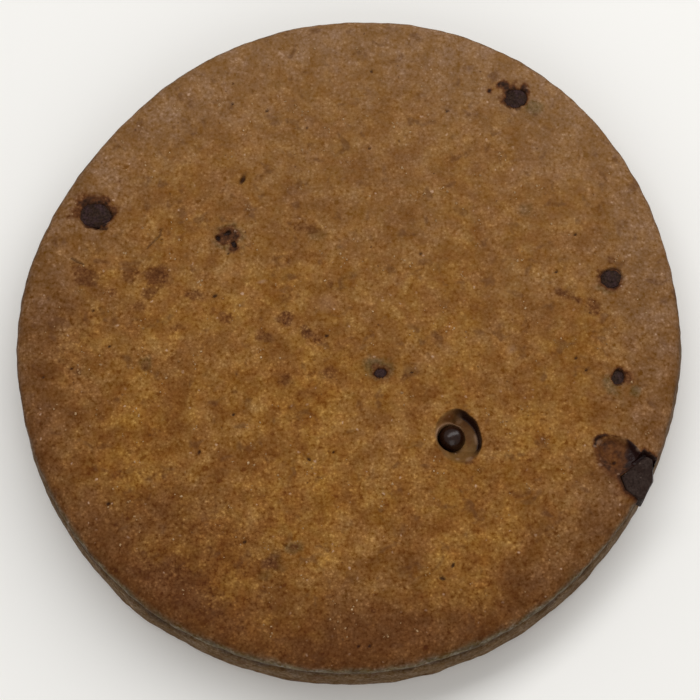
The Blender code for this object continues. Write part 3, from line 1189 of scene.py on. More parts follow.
    def stains(self, sheet: NodeSheet, fine: bpy.types.Node,
               colour: bpy.types.NodeSocket) -> bpy.types.NodeSocket:
        """Lay the grey and the brown stains over a colour; the deepest brown also stands in as painted
        shade.

        Args:
            sheet: The material's sheet.
            fine: The node of the fine grain.
            colour: The colour below them.

        Returns:
            The stained colour.
        """
        tone = fine.outputs["Tone"]
        ash = sheet.math("MULTIPLY", sheet.mask(Mask.ASH), sheet.remap(tone, 0.2, 1.0, 0.85, 0.45))
        colour = sheet.mix(ash, colour, self.ash)
        patchy = sheet.math("MULTIPLY", sheet.math("SUBTRACT", tone, 0.5), -0.35)
        stain_and_shade = sheet.math("ADD", sheet.mask(Mask.STAIN_AND_SHADE), sheet.math(
            "MULTIPLY", patchy, sheet.remap(sheet.mask(Mask.STAIN_AND_SHADE), 0.0, 0.4)), clamp=True)
        colour = sheet.mix(sheet.remap(stain_and_shade, 0.0, 0.7), colour, self.blush)
        return sheet.mix(sheet.remap(stain_and_shade, 0.5, 1.0), colour, self.deep_stain_and_shade)

    def marks(self, sheet: NodeSheet, colour: bpy.types.NodeSocket) -> bpy.types.NodeSocket:
        """Lay the painted shade of pits and crevices, the chocolate lining with its painted shade, and
        the pale spots and painted glints over a colour.

        Args:
            sheet: The material's sheet.
            colour: The colour below it.

        Returns:
            The marked colour.
        """
        colour = sheet.mix(sheet.mask(Mask.PIT_SHADE), colour, self.shaded_pore)
        colour = sheet.mix(sheet.mask(Mask.RESIDUE_AND_SHADE), colour, self.chocolate)
        return sheet.mix(sheet.math("MULTIPLY", sheet.mask(Mask.PALE_AND_GLINT), 0.55), colour, self.glint)

    def sheen(self, sheet: NodeSheet, fine: bpy.types.Node) -> bpy.types.NodeSocket:
        """Roughness: matt crust, smoother where the chocolate lining lies.

        Args:
            sheet: The material's sheet.
            fine: The node of the fine grain.

        Returns:
            The roughness's socket.
        """
        crust = sheet.remap(fine.outputs["Tone"], 0.0, 1.0, self.roughness + 0.12, self.roughness - 0.1)
        smoother = sheet.math("MULTIPLY", sheet.mask(Mask.RESIDUE_AND_SHADE), 0.34)
        return sheet.math("SUBTRACT", crust, smoother, clamp=True)

    @staticmethod
    def grain_normal(sheet: NodeSheet, place: bpy.types.NodeSocket, fine: bpy.types.Node,
                     calm: bpy.types.NodeSocket) -> bpy.types.NodeSocket:
        """Normal of the fine grain over a slightly broader crumb.

        Args:
            sheet: The material's sheet.
            place: Position in millimetres.
            fine: The node of the fine grain.
            calm: Share of the relief that is left at each point.

        Returns:
            The normal's socket.
        """
        crumb = sheet.math("MULTIPLY", sheet.noise(place, 1.1, detail=3.0, rough=0.65), calm)
        below = sheet.bump(crumb, 0.26 * MM, 0.7)
        grains = sheet.math("MULTIPLY", fine.outputs["Height"], calm)
        return sheet.bump(grains, 0.08 * MM, 0.8, below)


class ChocolateState(Enum):
    """How a piece of chocolate looks after baking."""

    BLOOMED = "bloomed"
    GLOSSY = "glossy"
    BROKEN = "broken"


@dataclass(frozen=True)
class ChocolateLook:
    """Values that tell one state of chocolate from another."""

    roughness: float
    coat: float
    bloom_share: float
    bloom_rate: float
    relief: float
    dark: Colour
    deep: Colour
    bloom: Colour
    crumbs: float


@dataclass(frozen=True)
class ChocolateFinish:
    """Dark chocolate with a faint grey bloom and some stuck crumbs, matt or glossy by its state."""

    groups: EffectGroups
    state: ChocolateState
    crumb: Colour = srgb(96, 82, 74)
    coat_roughness: float = 0.24
    specular: float = 0.04

    def look(self) -> ChocolateLook:
        """The values of this state."""
        dark, deep = srgb(60, 43, 33), srgb(22, 12, 9)
        return {
            ChocolateState.BLOOMED: ChocolateLook(0.50, 0.0, 0.70, 1.3, 0.09 * MM, dark, deep,
                                                  srgb(66, 49, 56), 0.35),
            ChocolateState.GLOSSY: ChocolateLook(0.45, 0.60, 0.10, 1.4, 0.004 * MM,
                                                 srgb(40, 18, 6), srgb(27, 11, 4),
                                                 srgb(80, 54, 38), 0.0),
            ChocolateState.BROKEN: ChocolateLook(0.50, 0.0, 0.55, 0.9, 0.10 * MM,
                                                 srgb(50, 36, 31), srgb(28, 18, 14),
                                                 srgb(68, 58, 53), 0.60),
        }[self.state]

    def make(self) -> bpy.types.Material:
        """Build the material.

        Returns:
            The finished material.
        """
        look = self.look()
        material, sheet, shader = blank_material("chocolate_" + self.state.value)
        place = sheet.millimetres()
        fine = self.groups.place(sheet, self.groups.speckle, place, Grains_per_mm=4.0, Contrast=2.2)
        bloom = self.groups.place(sheet, self.groups.patches, place, Patches_per_mm=look.bloom_rate,
                                  Threshold=0.54, Softness=0.22)
        colour = sheet.mix(fine.outputs["Tone"], look.deep, look.dark)
        share = sheet.math("MULTIPLY", bloom.outputs["Mask"], look.bloom_share)
        colour = sheet.mix(sheet.math("MULTIPLY", share, fine.outputs["Tone"]), colour, look.bloom)
        if look.crumbs:
            stuck = sheet.dots(sheet.bend(place, 4.0, 0.10), 2.0, 0.72, 0.20, look.crumbs)
            colour = sheet.mix(stuck, colour, self.crumb)
        sheet.feed(shader.inputs["Base Color"], colour)
        rough = sheet.remap(bloom.outputs["Mask"], 0.0, 1.0, look.roughness - 0.08,
                            look.roughness + 0.12)
        sheet.feed(shader.inputs["Roughness"], rough)
        shader.inputs["Coat Weight"].default_value = look.coat
        shader.inputs["Coat Roughness"].default_value = self.coat_roughness
        shader.inputs["Specular IOR Level"].default_value = self.specular
        sheet.feed(shader.inputs["Normal"], sheet.bump(fine.outputs["Height"], look.relief, 0.7))
        return material


@dataclass(frozen=True)
class SugarFinish:
    """Clear pale sugar crystals, slightly browned."""

    groups: EffectGroups
    pale: Colour = srgb(174, 144, 108)
    warm: Colour = srgb(138, 102, 64)
    specular: float = 0.18

    def make(self) -> bpy.types.Material:
        """Build the material.

        Returns:
            The finished material.
        """
        material, sheet, shader = blank_material("sugar_crystal")
        place = sheet.millimetres()
        patch = self.groups.place(sheet, self.groups.patches, place, Patches_per_mm=0.8,
                                  Threshold=0.5, Softness=0.3)
        sheet.feed(shader.inputs["Base Color"], sheet.mix(patch.outputs["Mask"], self.pale, self.warm))
        rough = sheet.remap(patch.outputs["Mask"], 0.0, 1.0, 0.35, 0.55)
        sheet.feed(shader.inputs["Roughness"], rough)
        shader.inputs["Specular IOR Level"].default_value = self.specular
        return material


def dress(piece: bpy.types.Object, slot: Slot, *nodes: str) -> bpy.types.Object:
    """Hang a piece on the frame.

    Args:
        piece: The piece, already in place.
        slot: The record's slot that its finish belongs to; not used.
        *nodes: The solids that it stands for.

    Returns:
        The piece.
    """
    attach(piece, BODY)
    if nodes:
        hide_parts(*nodes)
    log.info("%s: %d faces", piece.name, len(piece.data.polygons))
    return piece


def link_piece(name: str, mesh: bpy.types.Mesh, material: bpy.types.Material) -> bpy.types.Object:
    """Make an object of a mesh, shaded smooth, with its material.

    Args:
        name: The object's name.
        mesh: Its mesh.
        material: Its finish.

    Returns:
        The object, linked to the scene.
    """
    mesh.materials.append(material)
    mesh.shade_smooth()
    piece = bpy.data.objects.new(name, mesh)
    bpy.context.scene.collection.objects.link(piece)
    return piece


@dataclass(frozen=True)
class BakeLayout:
    """Where the top, the underside and the strips of the side lie in the square map for baking."""

    reach: float = 36.5 * MM
    top_middle: tuple[float, float] = (0.315, 0.685)
    top_radius: float = 0.305
    under_middle: tuple[float, float] = (0.82, 0.80)
    under_radius: float = 0.17
    under_reach: float = 33.9 * MM
    under_height: float = 0.01 * MM
    margin: float = 0.02
    strips: float = 3.0
    strip_length: float = 0.94
    strip_step: float = 0.115
    strip_height: float = 0.095
    foot_radius: float = 34.0 * MM
    foot_gap: float = 0.2 * MM


@dataclass
class BakedDough:
    """The baked disc as one fine closed mesh."""

    form: CookieForm
    chunk: ChunkForm
    finish: DoughFinish
    cells: int = 240
    rim_rings: int = 7
    side_rings: int = 15
    foot_rings: int = 5
    underside_rings: tuple[tuple[float, int], ...] = (
        (31.6 * MM, 2), (29.0 * MM, 1), (25.5 * MM, 2), (21.0 * MM, 1), (16.5 * MM, 2), (11.0 * MM, 2),
        (5.5 * MM, 2),
    )
    crumb: tuple[tuple[float, float], ...] = ((2.2 * MM, 0.055 * MM), (0.95 * MM, 0.045 * MM))
    top_border: tuple[float, float] = (-0.2 * MM, 1.0 * MM)
    foot_border: tuple[float, float] = (0.1 * MM, 1.2 * MM)
    skirt_border: tuple[float, float] = (0.15 * MM, 0.95 * MM)
    underside_border: tuple[float, float] = (0.15 * MM, 0.9 * MM)
    skirt_raggedness: float = 0.28 * MM
    side_crumb: float = 1.6
    side_grain: tuple[float, float] = (1.6 * MM, 0.07 * MM)
    wobble_size: float = 1.3 * MM
    fine_size: float = 0.5 * MM
    patch_raggedness: tuple[float, float] = (0.42, 0.30)
    patch_edge: tuple[float, float] = (0.45, 1.15)
    pore_margin: float = 0.55 * MM
    pore_depth: float = 0.6
    # Share of painted shade in a pore.
    pore_shade: float = 0.9
    crack_margin: float = 1.0 * MM
    crack_edge: tuple[float, float] = (0.2, 1.4)
    split_once: tuple[tuple[Oval, float, float, float], ...] = (
        (BALL_HOLLOW, 0.0, 0.0, 3.5 * MM), (CHUNK_SCOOP, 1.4 * MM, -0.8 * MM, 5.2 * MM))
    split_twice: tuple[tuple[Oval, float, float, float], ...] = (
        (BALL_HOLLOW, 0.0, 0.0, 3.1 * MM), (CHUNK_SCOOP, 0.2 * MM, 0.4 * MM, 3.2 * MM))
    opening_depth: float = 0.50 * MM
    opening_edge: tuple[float, float] = (0.78, 1.04)
    opening_raggedness: tuple[float, float] = (0.16, 0.14)
    crevice_width: float = 0.10
    # Share of painted shade in a chip's crevice.
    crevice_shade: float = 0.9
    seat_stain: float = 0.88
    hollow_edge: float = 1.03
    hollow_rim: float = 0.05 * MM
    ball_ridge: float = 0.25 * MM
    ball_hollow_depth: float = 1.55 * MM
    residue_bearing: float = 26.0
    scoop_depth: float = 0.75 * MM
    pocket_depth: float = 0.28 * MM
    chunk_bed: float = 0.95 * MM
    chunk_crevice: float = 0.85 * MM
    scoop_steep_bearing: float = 75.0
    wedge_from: float = 28.6 * MM
    layout: BakeLayout = BakeLayout()
    masks: dict[Mask, np.ndarray] = field(default_factory=dict)

    def build(self) -> bpy.types.Object:
        """Build, shape and dress the dough.

        Returns:
            The dough's object.
        """
        mesh = self.plain_mesh()
        self.refine(mesh)
        self.shape(mesh)
        piece = link_piece("baked_dough", mesh, self.finish.make())
        return dress(piece, Slot.DOUGH, "dough")

    def top_grid(self) -> np.ndarray:
        """Lay a square grid out over the round top, evenly.

        Returns:
            The points of the grid, row by row.
        """
        steps = np.linspace(-1.0, 1.0, self.cells + 1)
        across, up = np.meshgrid(steps, steps)
        across, up = across.ravel(), up.ravel()
        wide = np.abs(across) > np.abs(up)
        safe_across = np.where(wide, across, 1.0)
        safe_up = np.where(wide | (up == 0.0), 1.0, up)
        reach = np.where(wide, across, up)
        turn = np.where(wide, math.pi / 4.0 * up / safe_across,
                        math.pi / 2.0 - math.pi / 4.0 * across / safe_up)
        radius = np.abs(reach) * self.form.rim_start
        x = reach * np.cos(turn) * self.form.rim_start
        y = reach * np.sin(turn) * self.form.rim_start
        return np.column_stack([x, y, self.form.dome(radius)])

    def grid_edge(self) -> list[int]:
        """Number the points on the grid's edge, once round against the clock.

        Returns:
            Their numbers.
        """
        n = self.cells
        row = n + 1
        right = [i * row + n for i in range(n)]
        top = [n * row + n - i for i in range(n)]
        left = [(n - i) * row for i in range(n)]
        bottom = [i for i in range(n)]
        return right + top + left + bottom

    def side_profile(self) -> list[tuple[float, float]]:
        """Outline of the rim, side and foot, from the top edge down, as radius and height.

        Returns:
            One radius and height for each ring.
        """
        form = self.form
        arc_base = float(form.dome(np.array(form.rim_start))) - form.rim_height
        points = []
        for step in range(1, self.rim_rings + 1):
            swing = math.radians(90.0) * step / self.rim_rings
            points.append((form.rim_start + form.rim_width * math.sin(swing),
                           arc_base + form.rim_height * math.cos(swing)))
        for step in range(1, self.side_rings + 1):
            height = arc_base + (form.side_foot - arc_base) * step / self.side_rings
            points.append((form.side(height), height))
        foot_start = form.side(form.side_foot) - form.foot_width
        for step in range(1, self.foot_rings + 1):
            swing = math.radians(90.0) * step / self.foot_rings
            points.append((foot_start + form.foot_width * math.cos(swing),
                           form.side_foot * (1.0 - math.sin(swing))))
        return points

    def plain_mesh(self) -> bpy.types.Mesh:
        """Build the plain closed disc: a fine top, rings down the side and a coarser underside.

        Returns:
            The disc's mesh.
        """
        top = self.top_grid()
        points = [top]
        row = self.cells + 1
        faces = [[i * row + j, i * row + j + 1, (i + 1) * row + j + 1, (i + 1) * row + j]
                 for i in range(self.cells) for j in range(self.cells)]
        ring = self.grid_edge()
        angle = np.arctan2(top[ring, 1], top[ring, 0])
        total = len(top)
        rings = [(radius, height, 2 if number == self.rim_rings else 1)
                 for number, (radius, height) in enumerate(self.side_profile())]
        rings += [(radius, 0.0, thin) for radius, thin in self.underside_rings]
        for radius, height, thin in rings:
            angle = angle[::thin]
            points.append(self.ring_points(radius, height, angle))
            below = list(range(total, total + len(angle)))
            total += len(angle)
            faces += self.ring_faces(ring, below, thin)
            ring = below
        points.append(np.zeros((1, 3)))
        faces += [[ring[i], total, ring[(i + 1) % len(ring)]] for i in range(len(ring))]
        mesh = bpy.data.meshes.new("baked_dough")
        mesh.from_pydata(np.vstack(points).tolist(), [], faces)
        return mesh

    @staticmethod
    def ring_points(radius: float, height: float, angle: np.ndarray) -> np.ndarray:
        """Points of one level ring."""
        return np.column_stack([radius * np.cos(angle), radius * np.sin(angle),
                                np.full(len(angle), height)])

    @staticmethod
    def ring_faces(upper: list[int], lower: list[int], thin: int) -> list[list[int]]:
        """Join two rings.

        Args:
            upper: Points of the ring above.
            lower: Points of the ring below, as many or fewer.
            thin: How many spaces of the upper ring meet one of the lower.

        Returns:
            One face for each space of the lower ring.
        """
        faces = []
        for i in range(len(lower)):
            first = [upper[(i * thin + k) % len(upper)] for k in range(thin + 1)]
            faces.append([lower[i], lower[(i + 1) % len(lower)], *reversed(first)])
        return faces

    def detail_spots(self) -> list[tuple[float, float, float]]:
        """Places that need finer mesh, as x, y and radius.

        Returns:
            Those places, in metres.
        """
        spots = [(p.x, p.y, self.pore_margin + 0.4 * p.width) for p in PORES]
        for crack in CRACKS:
            spots += [(x, y, self.crack_margin) for x, y in crack.points]
        for seat in SEATS:
            oval = node_oval(seat.node)
            spots.append((oval.x, oval.y, 0.70 * max(oval.width, oval.depth)))
        return spots + [(oval.x + x, oval.y + y, radius) for oval, x, y, radius in self.split_once]

    def refine(self, mesh: bpy.types.Mesh) -> None:
        """Split the faces near small details, twice in the hollow and the scoop.

        Args:
            mesh: The dough's mesh.
        """
        shape = bmesh.new()
        shape.from_mesh(mesh)
        self.split_near(shape, self.detail_spots())
        self.split_near(shape, [(oval.x + x, oval.y + y, radius)
                                for oval, x, y, radius in self.split_twice])
        shape.to_mesh(mesh)
        shape.free()

    @staticmethod
    def split_near(shape: bmesh.types.BMesh, spots: list[tuple[float, float, float]]) -> None:
        """Split the top's edges that lie in any of these round spots.

        Args:
            shape: The mesh to split.
            spots: The x, y and radius of each spot, in metres.
        """
        chosen = []
        for edge in shape.edges:
            first, second = edge.verts[0].co, edge.verts[1].co
            if first.z < 4.0 * MM:
                continue
            x, y = (first.x + second.x) / 2.0, (first.y + second.y) / 2.0
            if any((x - sx) ** 2 + (y - sy) ** 2 < r * r for sx, sy, r in spots):
                chosen.append(edge)
        bmesh.ops.subdivide_edges(shape, edges=chosen, cuts=1, use_grid_fill=True)

    def shape(self, mesh: bpy.types.Mesh) -> None:
        """Push the plain disc to its real form and work out its masks.

        Args:
            mesh: The plain disc.
        """
        flat = np.empty(len(mesh.vertices) * 3)
        mesh.vertices.foreach_get("co", flat)
        places = flat.reshape(-1, 3)
        plain = places.copy()
        angle = np.arctan2(plain[:, 1], plain[:, 0])
        radius = np.hypot(plain[:, 0], plain[:, 1])
        height = plain[:, 2]
        outward = np.column_stack([np.cos(angle), np.sin(angle)])

        edge_share = np.clip((radius - 0.9 * self.form.radius) / (0.1 * self.form.radius), 0.0, 1.0)
        reach = radius * self.form.outline(angle) + self.form.base_bulge(angle, height) * edge_share
        places[:, :2] = reach[:, None] * outward
        spot = np.column_stack([places[:, :2], height])
        relief = self.form.relief(spot)
        crumb = sum(size * noise_at(spot, wave, 31.7) for wave, size in self.crumb)

        above_side = height - self.form.side_top
        top_share = smooth_step(*self.top_border, above_side)
        side_share = (1.0 - top_share) * smooth_step(*self.foot_border, height)
        places[:, 2] += top_share * (relief + crumb)
        grain_size, grain_height = self.side_grain
        grain = noise_at(spot * [1.0, 1.0, 2.2], grain_size, 9.3)
        rough_side = relief + self.side_crumb * crumb + grain_height * grain
        places[:, :2] += (side_share * rough_side)[:, None] * outward

        ragged = self.skirt_raggedness * crumb / self.crumb[0][1]
        self.masks[Mask.SKIRT] = fade(*self.skirt_border, above_side + ragged)
        self.masks[Mask.UNDERSIDE] = fade(*self.underside_border, height)
        for mask in (Mask.STAIN_AND_SHADE, Mask.ASH, Mask.RESIDUE_AND_SHADE, Mask.PIT_SHADE, Mask.PALE_AND_GLINT, Mask.SMOOTH):
            self.masks[mask] = np.zeros(len(places))
        on_top = height > self.form.side_top
        self.sink_details(places, on_top)
        mesh.vertices.foreach_set("co", places.ravel())
        mesh.update()
        for mask, values in self.masks.items():
            layer = mesh.attributes.new(mask.value, "FLOAT", "POINT")
            layer.data.foreach_set("value", np.clip(values, 0.0, 1.0))
        self.lay_bake_map(mesh, plain)

    def sink_details(self, places: np.ndarray, on_top: np.ndarray) -> None:
        """Sink the hollows, chip seats, pores and cracks into the dough, and lay their colours, with
        painted shade in the pores, cracks and crevices.

        Args:
            places: The dough's points, which are lowered.
            on_top: Whether each point belongs to the top crust.
        """
        level = places * [1.0, 1.0, 0.0]
        wobble = noise_at(level, self.wobble_size, 5.1)
        fine = noise_at(level, self.fine_size, 17.3)
        for blush in BLUSHES:
            reach = self.ragged(blush.oval, places, wobble, fine, self.patch_raggedness)
            self.mark(blush.mask, blush.strength * fade(*self.patch_edge, reach))
        sink = self.ball_hollow(places, wobble, fine)
        sink = np.maximum(sink, self.chunk_scoop(places, wobble, fine))
        for seat in SEATS:
            sink = sink + self.chip_seat(seat, places, wobble, fine)
        for shaded_pore in PORES:
            share = shaded_pore.reach(places) * (1.0 + 0.35 * fine)
            sink += self.pore_depth * shaded_pore.width * band(share, 0.0, 1.0)
            self.mark(Mask.PIT_SHADE, self.pore_shade * fade(*self.patch_edge, share))
        for crack in CRACKS:
            share = crack.distance(places) / (0.5 * crack.width) * (1.0 + 0.5 * fine)
            sink += crack.depth * band(share, 0.0, 1.0)
            self.mark(Mask.PIT_SHADE, crack.dark * fade(*self.crack_edge, share))
        for values in self.masks.values():
            if values is not self.masks[Mask.SKIRT] and values is not self.masks[Mask.UNDERSIDE]:
                values *= on_top
        sink = self.chunk_seat(places, fine, sink)
        places[:, 2] -= np.where(on_top, sink, 0.0)

    @staticmethod
    def ragged(oval: Oval, places: np.ndarray, wobble: np.ndarray, fine: np.ndarray,
               shares: tuple[float, float]) -> np.ndarray:
        """How far out in an oval each point lies, with a ragged border.

        Args:
            oval: The oval.
            places: The dough's points.
            wobble: Slow noise at each point.
            fine: Fine noise at each point.
            shares: How much of the slow and of the fine noise the border takes.

        Returns:
            Shares of the way from the middle to the edge.
        """
        return oval.reach(places) + shares[0] * wobble + shares[1] * fine

    def mark(self, mask: Mask, share: np.ndarray) -> None:
        """Raise a mask to at least this share."""
        self.masks[mask] = np.maximum(self.masks[mask], share)

    def ball_hollow(self, places: np.ndarray, wobble: np.ndarray, fine: np.ndarray) -> np.ndarray:
        """Work out the open hollow round the round chip, with its dark wall of chocolate lining and
        painted shade, a painted glint, and painted shade at the chip's lower left edge.

        Args:
            places: The dough's points.
            wobble: Slow noise at each point.
            fine: Fine noise at each point.

        Returns:
            How far each point sinks.
        """
        reach = self.ragged(BALL_HOLLOW, places, wobble, fine, (0.035, 0.02))
        bearing = BALL_HOLLOW.bearing(places)
        gap = bearing_gap(bearing, self.residue_bearing)
        floor = fade(0.89 - 0.50 * smooth_step(46.0, 92.0, gap), self.hollow_edge, reach)
        sink = self.ball_hollow_depth * floor - self.hollow_rim * band(reach, 1.14, 0.09)
        # Dark crescent on the wall that faces away from the light: chocolate lining and painted shade.
        crescent = fade(48.0, 88.0, gap) * smooth_step(0.80, 0.88, reach)
        self.mark(Mask.RESIDUE_AND_SHADE, crescent * fade(0.99, 1.04, reach))
        inside = fade(0.90, 1.06, reach)
        # Browner towards the hollow's upper side.
        upper = smooth_step(-1.5 * MM, 1.5 * MM, places[:, 1] - BALL_HOLLOW.y)
        self.mark(Mask.STAIN_AND_SHADE, (0.14 + 0.22 * upper) * inside)
        self.mark(Mask.ASH, 0.60 * inside)
        self.mark(Mask.SMOOTH, 0.7 * inside)
        foot = Arc(at=0.91, width=0.07, bearing=-68.0, full=10.0, gone=26.0).share(reach, bearing)
        self.mark(Mask.STAIN_AND_SHADE, 0.55 * foot * np.clip(0.8 + 0.6 * fine, 0.2, 1.0))
        # Painted glint on the dark wall.
        wall_glint = Arc(at=0.80, width=0.06, bearing=4.0, full=10.0, gone=22.0).share(reach, bearing)
        ball = node_oval("chip_round")
        radius = 0.5 * ball.width
        away = np.hypot(places[:, 0] - ball.x, places[:, 1] - ball.y)
        around = ball.bearing(places)
        ridge = Arc(at=1.13 * radius, width=0.12 * MM, bearing=118.0, full=50.0,
                    gone=85.0).share(away, around)
        ragged = np.clip(0.75 + 0.5 * fine, 0.3, 1.0)
        self.mark(Mask.PALE_AND_GLINT, np.maximum(0.60 * ridge * ragged, 0.70 * wall_glint * ragged))
        # Painted shadow round the chip's lower left edge.
        shade = Arc(at=1.02 * radius, width=0.17 * MM, bearing=-130.0, full=50.0,
                    gone=95.0).share(away, around)
        self.mark(Mask.PIT_SHADE, 0.85 * shade)
        hug = fade(40.0, 80.0, bearing_gap(around, 205.0))
        sink = sink * (1.0 - hug * smooth_step(radius, 1.16 * radius, away))
        hole = fade(0.98 * radius, 1.09 * radius, away)
        return np.maximum(sink - self.ball_ridge * ridge * floor, self.ball_hollow_depth * hole)

    def chunk_scoop(self, places: np.ndarray, wobble: np.ndarray, fine: np.ndarray) -> np.ndarray:
        """Work out the smooth scoop beside the edge chunk, steep on its upper side.

        Args:
            places: The dough's points.
            wobble: Slow noise at each point.
            fine: Fine noise at each point.

        Returns:
            How far each point sinks.
        """
        reach = self.ragged(CHUNK_SCOOP, places, wobble, fine, (0.05, 0.015))
        bearing = CHUNK_SCOOP.bearing(places)
        reach = reach * (1.0 + 0.09 * band(bearing_gap(bearing, 98.0), 0.0, 26.0))
        gap = bearing_gap(bearing, self.scoop_steep_bearing)
        soft = smooth_step(60.0, 115.0, gap)
        sink = self.scoop_depth * fade(0.62 - 0.60 * soft, self.hollow_edge, reach)
        # Darker along the steep upper rim and at the left corner.
        corner = fade(14.0, 32.0, bearing_gap(bearing, 136.0))
        lip = band(reach, 0.95, 0.045 + 0.055 * corner) * (1.0 - soft)
        lip = np.maximum(lip * np.clip(0.30 + 0.8 * wobble, 0.0, 0.7),
                         corner * 0.88 * band(reach, 0.93, 0.09))
        self.mark(Mask.STAIN_AND_SHADE, lip)
        patchy = np.clip(0.92 + 0.35 * wobble + 0.25 * fine, 0.4, 1.1)
        self.mark(Mask.STAIN_AND_SHADE, 0.70 * patchy * fade(0.72, 1.02 + 0.30 * soft, reach))
        self.mark(Mask.SMOOTH, 0.45 * fade(0.75, 1.05 + 0.2 * soft, reach))
        # Near-black wedge beside the chunk: chocolate lining and painted shade.
        wedge = smooth_step(-0.30 * MM, 0.35 * MM, places[:, 0] + 0.25 * MM * fine
                            + 0.2 * MM * wobble - self.wedge_from)
        wedge *= fade(0.97, 1.04, reach)
        self.mark(Mask.RESIDUE_AND_SHADE, wedge * smooth_step(-14.4 * MM, -13.8 * MM, places[:, 1]))
        pocket = SCOOP_POCKET.reach(places) + 0.08 * fine
        # Painted shade on the pocket's upper left wall.
        wall = Arc(at=0.88, width=0.25, bearing=128.0, full=30.0, gone=75.0)
        self.mark(Mask.PIT_SHADE, 0.56 * wall.share(pocket, SCOOP_POCKET.bearing(places)))
        # Painted glints in the pocket.
        self.mark(Mask.PALE_AND_GLINT, 0.35 * band(pocket, 0.0, 0.4) * smooth_step(-0.1, 0.4, fine))
        return sink + self.pocket_depth * fade(0.35, 0.95, pocket)

    def chip_seat(self, seat: ChipSeat, places: np.ndarray, wobble: np.ndarray,
                  fine: np.ndarray) -> np.ndarray:
        """Work out how the dough opens over one chip, with a crevice on one side darkened with painted
        shade.

        Args:
            seat: How the dough meets the chip.
            places: The dough's points.
            wobble: Slow noise at each point.
            fine: Fine noise at each point.

        Returns:
            How far each point sinks.
        """
        sink = np.zeros(len(places))
        for oval in seat.openings():
            reach = self.ragged(oval, places, wobble, fine, self.opening_raggedness)
            sink = np.maximum(sink, self.opening_depth * fade(*self.opening_edge, reach))
            bearing = oval.bearing(places)
            crevice = Arc(at=seat.crevice_at, width=self.crevice_width, bearing=seat.crevice_bearing,
                          full=0.5 * seat.crevice_reach,
                          gone=seat.crevice_reach).share(reach, bearing)
            sink = sink + seat.crevice * crevice
            self.mark(Mask.PIT_SHADE, self.crevice_shade * crevice)
            away = smooth_step(50.0, 120.0, bearing_gap(bearing, seat.crevice_bearing))
            self.mark(Mask.STAIN_AND_SHADE, self.seat_stain * fade(0.84, 1.20 + 0.38 * away, reach))
        return sink

    def chunk_seat(self, places: np.ndarray, fine: np.ndarray, sink: np.ndarray) -> np.ndarray:
        """Sink the dough under the edge chunk and open the crevice along its upper side, darkened with
        chocolate lining and painted shade.

        Args:
            places: The dough's points.
            fine: Fine noise at each point.
            sink: How far each point sinks so far.

        Returns:
            How far each point sinks now.
        """
        away = self.chunk.distance(places) + 0.04 * MM * fine
        _, sideways = self.chunk.local(places)
        high_up = smooth_step(5.0 * MM, 5.6 * MM, places[:, 2])
        under = fade(-0.30 * MM, -0.04 * MM, away)
        sink = np.maximum(sink, self.chunk_bed * under)
        upper = smooth_step(0.1 * MM, 1.1 * MM, sideways)
        crevice = fade(0.22 * MM, 0.46 * MM, away) * upper
        sink = np.maximum(sink, self.chunk_crevice * crevice)
        self.mark(Mask.RESIDUE_AND_SHADE, crevice * high_up)
        # Painted shade along the chunk's edge.
        edge = band(away, 0.0, 0.13 * MM)
        self.mark(Mask.PIT_SHADE, 0.85 * edge * high_up)
        self.mark(Mask.STAIN_AND_SHADE, 0.65 * fade(0.1 * MM, 0.9 * MM, away) * high_up)
        scoop_side = smooth_step(-0.7 * MM, 0.3 * MM, sideways)
        self.mark(Mask.STAIN_AND_SHADE, 0.95 * fade(0.35 * MM, 0.95 * MM, away) * scoop_side
                  * high_up)
        return sink

    def lay_bake_map(self, mesh: bpy.types.Mesh, plain: np.ndarray) -> None:
        """Lay the top, the side and the underside out flat in a map for baking.

        Args:
            mesh: The dough's mesh.
            plain: Its points before they were pushed to the real form.
        """
        layout = self.layout
        angle = np.arctan2(plain[:, 1], plain[:, 0])
        radius = np.hypot(plain[:, 0], plain[:, 1])
        height = plain[:, 2]
        corners = np.empty(len(mesh.loops), np.int64)
        mesh.loops.foreach_get("vertex_index", corners)
        starts = np.empty(len(mesh.polygons), np.int64)
        totals = np.empty(len(mesh.polygons), np.int64)
        mesh.polygons.foreach_get("loop_start", starts)
        mesh.polygons.foreach_get("loop_total", totals)
        owner = np.repeat(np.arange(len(starts)), totals)
        mean_height = np.bincount(owner, height[corners]) / totals
        mean_radius = np.bincount(owner, radius[corners]) / totals
        is_top = (mean_height > self.form.side_top)[owner]
        is_under = ((mean_height < layout.under_height) & (mean_radius < layout.under_reach))[owner]
        across, up = plain[corners, 0], plain[corners, 1]
        span = layout.top_radius / layout.reach
        small = layout.under_radius / layout.reach
        u = np.where(is_under, layout.under_middle[0] + across * small,
                     layout.top_middle[0] + across * span)
        v = np.where(is_under, layout.under_middle[1] + up * small, layout.top_middle[1] + up * span)
        turn = (angle[corners] / (2.0 * math.pi)) % 1.0
        first = turn[starts[owner]]
        turn = np.where(turn - first > 0.5, turn - 1.0, np.where(turn - first < -0.5, turn + 1.0, turn))
        strip = np.floor(np.clip((first % 1.0) * layout.strips, 0.0, layout.strips - 0.001))
        strip_u = layout.margin + (turn * layout.strips - strip) * layout.strip_length
        lift = np.where(radius[corners] < layout.foot_radius, 0.0, layout.foot_gap)
        strip_v = (layout.margin + strip * layout.strip_step
                   + layout.strip_height * (height[corners] + lift) / self.form.height)
        on_side = ~(is_top | is_under)
        u = np.where(on_side, strip_u, u)
        v = np.where(on_side, strip_v, v)
        layer = mesh.uv_layers.new(name="OFBake")
        layer.data.foreach_set("uv", np.column_stack([u, v]).ravel())


